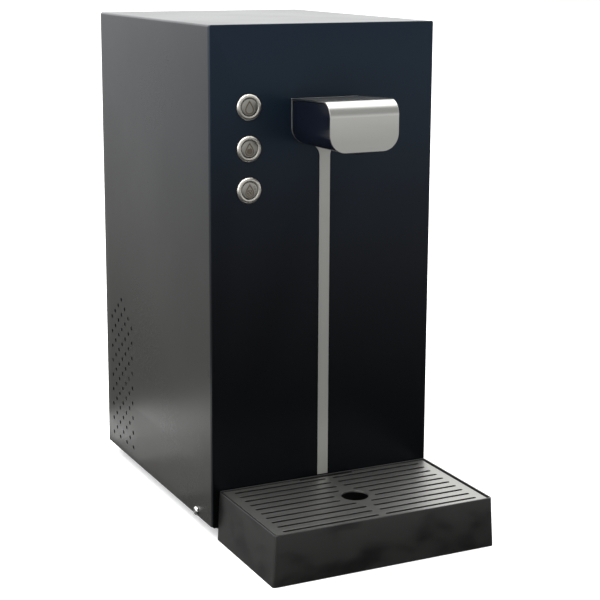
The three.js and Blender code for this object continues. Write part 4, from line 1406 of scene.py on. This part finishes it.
@dataclass
class RearFittings:
    """What comes through the rear panel: two bulkhead fittings, the mains inlet and the thermostat."""

    bench: Bench
    thread_pitch: float = 1.25
    thread_depth: float = 0.6
    stem: float = 6.7
    hexagon: float = 10.5
    socket: Pair = (24.0, 16.0)
    apart: float = 14.0
    rocker_tilt: float = 10.0

    def build(self) -> None:
        """Makes every fitting."""
        for node in ("water_inlet", "co2_inlet"):
            self.make_bulkhead(node)
        self.make_mains_inlet()
        self.make_rocker()
        self.make_knob()

    def make_bulkhead(self, node: str) -> None:
        """A threaded brass stem with a hexagon outside and a lock nut inside."""
        box = Box.of(node)
        at = (box.middle.x, box.middle.z)
        panel = Box.of("rear_panel").y
        rear = Box.of("wrap_cover").y[1]
        y = rear + 5.6
        profile = [(0, box.y[0]), (self.stem, box.y[0]), (self.stem, y)]
        while y < box.y[1] - 1.5 * self.thread_pitch:
            profile += [(self.stem, y), (self.stem - self.thread_depth, y + self.thread_pitch / 2)]
            y += self.thread_pitch
        profile += [(self.stem - 0.2, y), (self.stem - 0.8, box.y[1]), (1.8, box.y[1])]
        profile += [(1.8, rear + 5), (0, rear + 5)]
        fitting = Shape.turned(profile, Axis.Y, at)
        for span in ((panel[1] + 0.3, rear + 5), (panel[0] - 5, panel[0] - 0.3)):
            nut = Shape.rod(Axis.Y, self.hexagon, span, at, 6)
            start, end = span
            outline = [(0, start), (9.4, start), (10.7, start + 0.8)]
            outline += [(10.7, end - 0.8), (9.4, end), (0, end)]
            chamfer = Shape.turned(outline, Axis.Y, at)
            fitting.joined(nut.combined(Operation.CROSS, chamfer))
        self.bench.finish(fitting, Piece(f"{node}_fitting", Slot.BRASS, (node,), edge=0.08))

    def make_mains_inlet(self) -> None:
        """A flanged inlet with a three-pin socket below and a well for the switch above."""
        box = Box.of("mains_inlet")
        rocker = Box.of("power_rocker")
        rear = Box.of("wrap_cover").y[1]
        panel = Box.of("rear_panel").y[1]
        middle = box.middle.x
        body = Shape.block(grown(box.x, -3), (box.y[0], rear), grown(box.z, -3))
        flange = Shape.block(box.x, (panel + 0.3, box.y[1]), box.z)
        inlet = body.joined(flange.rounded(2.5, lambda e: runs_along(e, Axis.Y)))
        half, tall = self.socket[0] / 2, self.socket[1] / 2
        low, high = about(box.middle.z, self.apart)
        left, right = about(middle, half)
        bottom, top = about(low, tall)
        chamfer = 4.5
        corners = [
            (left, bottom), (right, bottom), (right, top - chamfer),
            (right - chamfer, top), (left + chamfer, top), (left, top - chamfer),
        ]
        socket = Shape.prism(corners, Axis.Y, (rear - 14, rear + PAST))
        width = (rocker.x[1] - rocker.x[0]) / 2 + 0.5
        well = Shape.block(about(middle, width), (rear - 10, rear + PAST), about(high, 12.5))
        inlet.cut(socket, well)
        pins = []
        for dx, dz in ((-7, -2), (0, 2), (7, -2)):
            pins.append(Shape.block(about(middle + dx, 1), (rear - 13.9, rear - 5), about(low + dz, 2.5)))
        self.bench.finish(inlet, Piece("mains_inlet_housing", Slot.PLASTIC, ("mains_inlet",), edge=0.3))
        self.bench.finish(Shape.group(*pins), Piece("mains_inlet_pins", Slot.CHROME, edge=0.4))

    def make_rocker(self) -> None:
        """The rocker, which rests pressed at its lower end."""
        box = Box.of("power_rocker")
        rear = Box.of("wrap_cover").y[1]
        half = (box.x[1] - box.x[0]) / 2
        middle = box.middle.x
        height = Box.of("mains_inlet").middle.z + self.apart
        tilt = Matrix.Rotation(math.radians(-self.rocker_tilt), 4, "X")
        corners = [(-4, -8), (4.5, -11.5), (2.6, 0), (4.5, 11.5), (-4, 8)]
        rocker = Shape.prism(corners, Axis.X, about(0, half))
        rocker.transformed(Matrix.Translation((middle, rear - 2, height)) @ tilt)
        key = Piece("power_rocker_key", Slot.PLASTIC, ("power_rocker",), Body.ROCKER, edge=0.5)
        self.bench.finish(rocker, key)

    def make_knob(self) -> None:
        """The thermostat's knob: fluted, with a white pointer."""
        box = Box.of("thermostat_knob")
        at = (box.middle.x, box.middle.z)
        start, end = box.y
        back = Box.of("rear_panel").y[1] + 0.3
        profile = [
            (0, start), (3, start), (3, back), (11, back), (11, back + 1.6), (10.6, back + 2),
            (8.6, back + 3), (8.1, back + 10), (7.4, back + 10.8), (6.8, end), (0, end),
        ]
        knob = Shape.turned(profile, Axis.Y, at, 64)
        flutes = []
        count = 18
        for index in range(count):
            angle = 2 * math.pi * (index + 0.5) / count
            place = (at[0] + 9.1 * math.sin(angle), at[1] + 9.1 * math.cos(angle))
            flutes.append(Shape.rod(Axis.Y, 0.9, (back + 3.2, end + 3), place, 12))
        knob.cut(Shape.group(*flutes))
        knob.cut(Shape.block(about(at[0], 0.7), (end - 0.7, end + 1), (at[1] + 0.5, at[1] + 12)))
        cap = Piece("thermostat_knob_cap", Slot.PLASTIC, ("thermostat_knob",), Body.KNOB, edge=0.12)
        self.bench.finish(knob, cap)
        line = Shape.block(about(at[0], 0.65), (end - 0.7, end - 0.1), (at[1] + 0.6, at[1] + 6.6))
        self.bench.finish(line, Piece("thermostat_knob_pointer", Slot.WHITE, (), Body.KNOB, edge=0.05))


# ---- Studio --------------------------------------------------------------------------


def looking(at: Triple, aim: Triple) -> Matrix:
    """The placing of a lamp or camera that looks from one point to another."""
    towards = Vector(aim) - Vector(at)
    return Matrix.Translation(at) @ towards.to_track_quat("-Z", "Y").to_matrix().to_4x4()


@dataclass
class Studio:
    """A plain pale floor, soft light and the camera."""

    place: Triple = (-0.5844, -1.2320, 0.5007)
    aim: Triple = (0.0481, 0.0574, 0.2115)
    roll: float = 0.256
    lens: float = 91.3
    shift_y: float = -0.075
    floor_size: float = 14.0
    floor_glow: float = 0.22
    floor_gap: float = 0.0002
    sheen_x: float = -0.25
    sheen_edge: float = 0.3
    sheen_height: float = 0.002
    sheen_width: float = 0.27
    sheens: tuple[Pair, ...] = ((0.1, 0.055), (0.17, 0.055), (0.28, 0.042))

    def build(self) -> None:
        """Makes the camera, the floor and the light."""
        self.make_camera()
        self.make_floor()
        self.make_surroundings()
        middle = (0, 0, 0.2)
        self.make_lamp("overhead", looking((-0.5, -0.2, 2.2), middle), (1.8, 1.8), 34)
        self.make_lamp("left_window", looking((-2.0, -0.6, 1.0), middle), (1.4, 1.2), 17)
        for depth, power in self.sheens:
            self.make_sheen(depth, power)
        bpy.context.scene.view_settings.view_transform = "Standard"

    def make_camera(self) -> None:
        """The camera, level but for a slight roll."""
        data = bpy.data.cameras.new("camera")
        data.lens = self.lens
        data.shift_y = self.shift_y
        camera = bpy.data.objects.new("camera", data)
        bpy.context.scene.collection.objects.link(camera)
        roll = Matrix.Rotation(math.radians(self.roll), 4, "Z")
        camera.matrix_world = looking(self.place, self.aim) @ roll
        bpy.context.scene.camera = camera

    def make_floor(self) -> None:
        """A wide pale floor that reflections don't show."""
        form = bmesh.new()
        bmesh.ops.create_circle(form, cap_ends=True, segments=96, radius=self.floor_size)
        bmesh.ops.translate(form, verts=form.verts, vec=(0, 0, -self.floor_gap))
        mesh = bpy.data.meshes.new("floor")
        form.to_mesh(mesh)
        form.free()
        floor = bpy.data.objects.new("floor", mesh)
        bpy.context.scene.collection.objects.link(floor)
        material = bpy.data.materials.new("floor")
        material.use_nodes = True
        graph = Graph(material.node_tree)
        pale = (0.93, 0.93, 0.93)
        sockets = {"Base Color": pale, "Roughness": 1.0, "Specular IOR Level": 0.0}
        sockets |= {"Emission Color": pale, "Emission Strength": self.floor_glow}
        graph.shown(graph.node("ShaderNodeBsdfPrincipled", {}, sockets))
        mesh.materials.append(material)
        floor.visible_glossy = False

    def make_surroundings(self) -> None:
        """A soft room: bright behind the dispenser, dimmer before it, and dark low down."""
        world = bpy.data.worlds.new("room")
        bpy.context.scene.world = world
        world.use_nodes = True
        graph = Graph(world.node_tree)
        direction = Channel(graph, graph.node("ShaderNodeTexCoord").outputs["Generated"])
        parts = graph.node("ShaderNodeSeparateXYZ", {}, {0: direction})
        behind = Channel(graph, parts.outputs["Y"]).smooth(-0.5, -0.1)
        height = Channel(graph, parts.outputs["Z"])
        before = 0.01 + 0.86 * height.smooth(-0.34, 0.02) - 0.45 * height.smooth(0.02, 0.3)
        beyond = 0.16 + 0.4 * height.smooth(-0.3, -0.05) + 1.15 * height.smooth(-0.02, 0.12)
        beyond += 0.7 * height.smooth(0.3, 0.6)
        room = before + behind * (beyond - before)
        seen = Channel(graph, graph.node("ShaderNodeLightPath").outputs["Is Camera Ray"])
        strength = room + seen * (1.0 - room)
        shader = graph.node("ShaderNodeBackground", {}, {"Strength": strength})
        shader.inputs["Color"].default_value = (1.0, 1.0, 1.0, 1.0)
        graph.shown(shader, "ShaderNodeOutputWorld")

    def make_lamp(self, name: str, placed: Matrix, size: Pair, power: float) -> bpy.types.Object:
        """A soft rectangular lamp that the camera doesn't see.

        Args:
            name: Its name.
            placed: Where it is and which way it shines.
            size: Its width and height.
            power: Its power in watts.

        Returns:
            The lamp.
        """
        data = bpy.data.lights.new(name, "AREA")
        data.shape = "RECTANGLE"
        data.size, data.size_y = size
        data.energy = power
        lamp = bpy.data.objects.new(name, data)
        bpy.context.scene.collection.objects.link(lamp)
        lamp.matrix_world = placed
        lamp.visible_camera = False
        return lamp

    def make_sheen(self, depth: float, power: float) -> None:
        """A low lamp that only gleams. A few together draw the fading band across the left side's foot.

        Args:
            depth: How far it reaches forward from the band's upper edge.
            power: Its power in watts.
        """
        place = Matrix.Translation((self.sheen_x, self.sheen_edge - depth / 2, self.sheen_height))
        placed = place @ Matrix.Rotation(math.pi, 4, "X")
        self.make_lamp("sheen", placed, (self.sheen_width, depth), power).visible_diffuse = False


def main() -> None:
    """Builds the scene."""
    logging.basicConfig(level=logging.INFO, format="%(name)s: %(message)s")
    Studio().build()
    bench = Bench()
    bench.dress_frame()
    for assembly in (Cabinet(bench), Spout(bench), Buttons(bench), DripTray(bench), RearFittings(bench)):
        LOG.info("building %s", type(assembly).__name__)
        assembly.build()


if __name__ == "__main__":
    main()
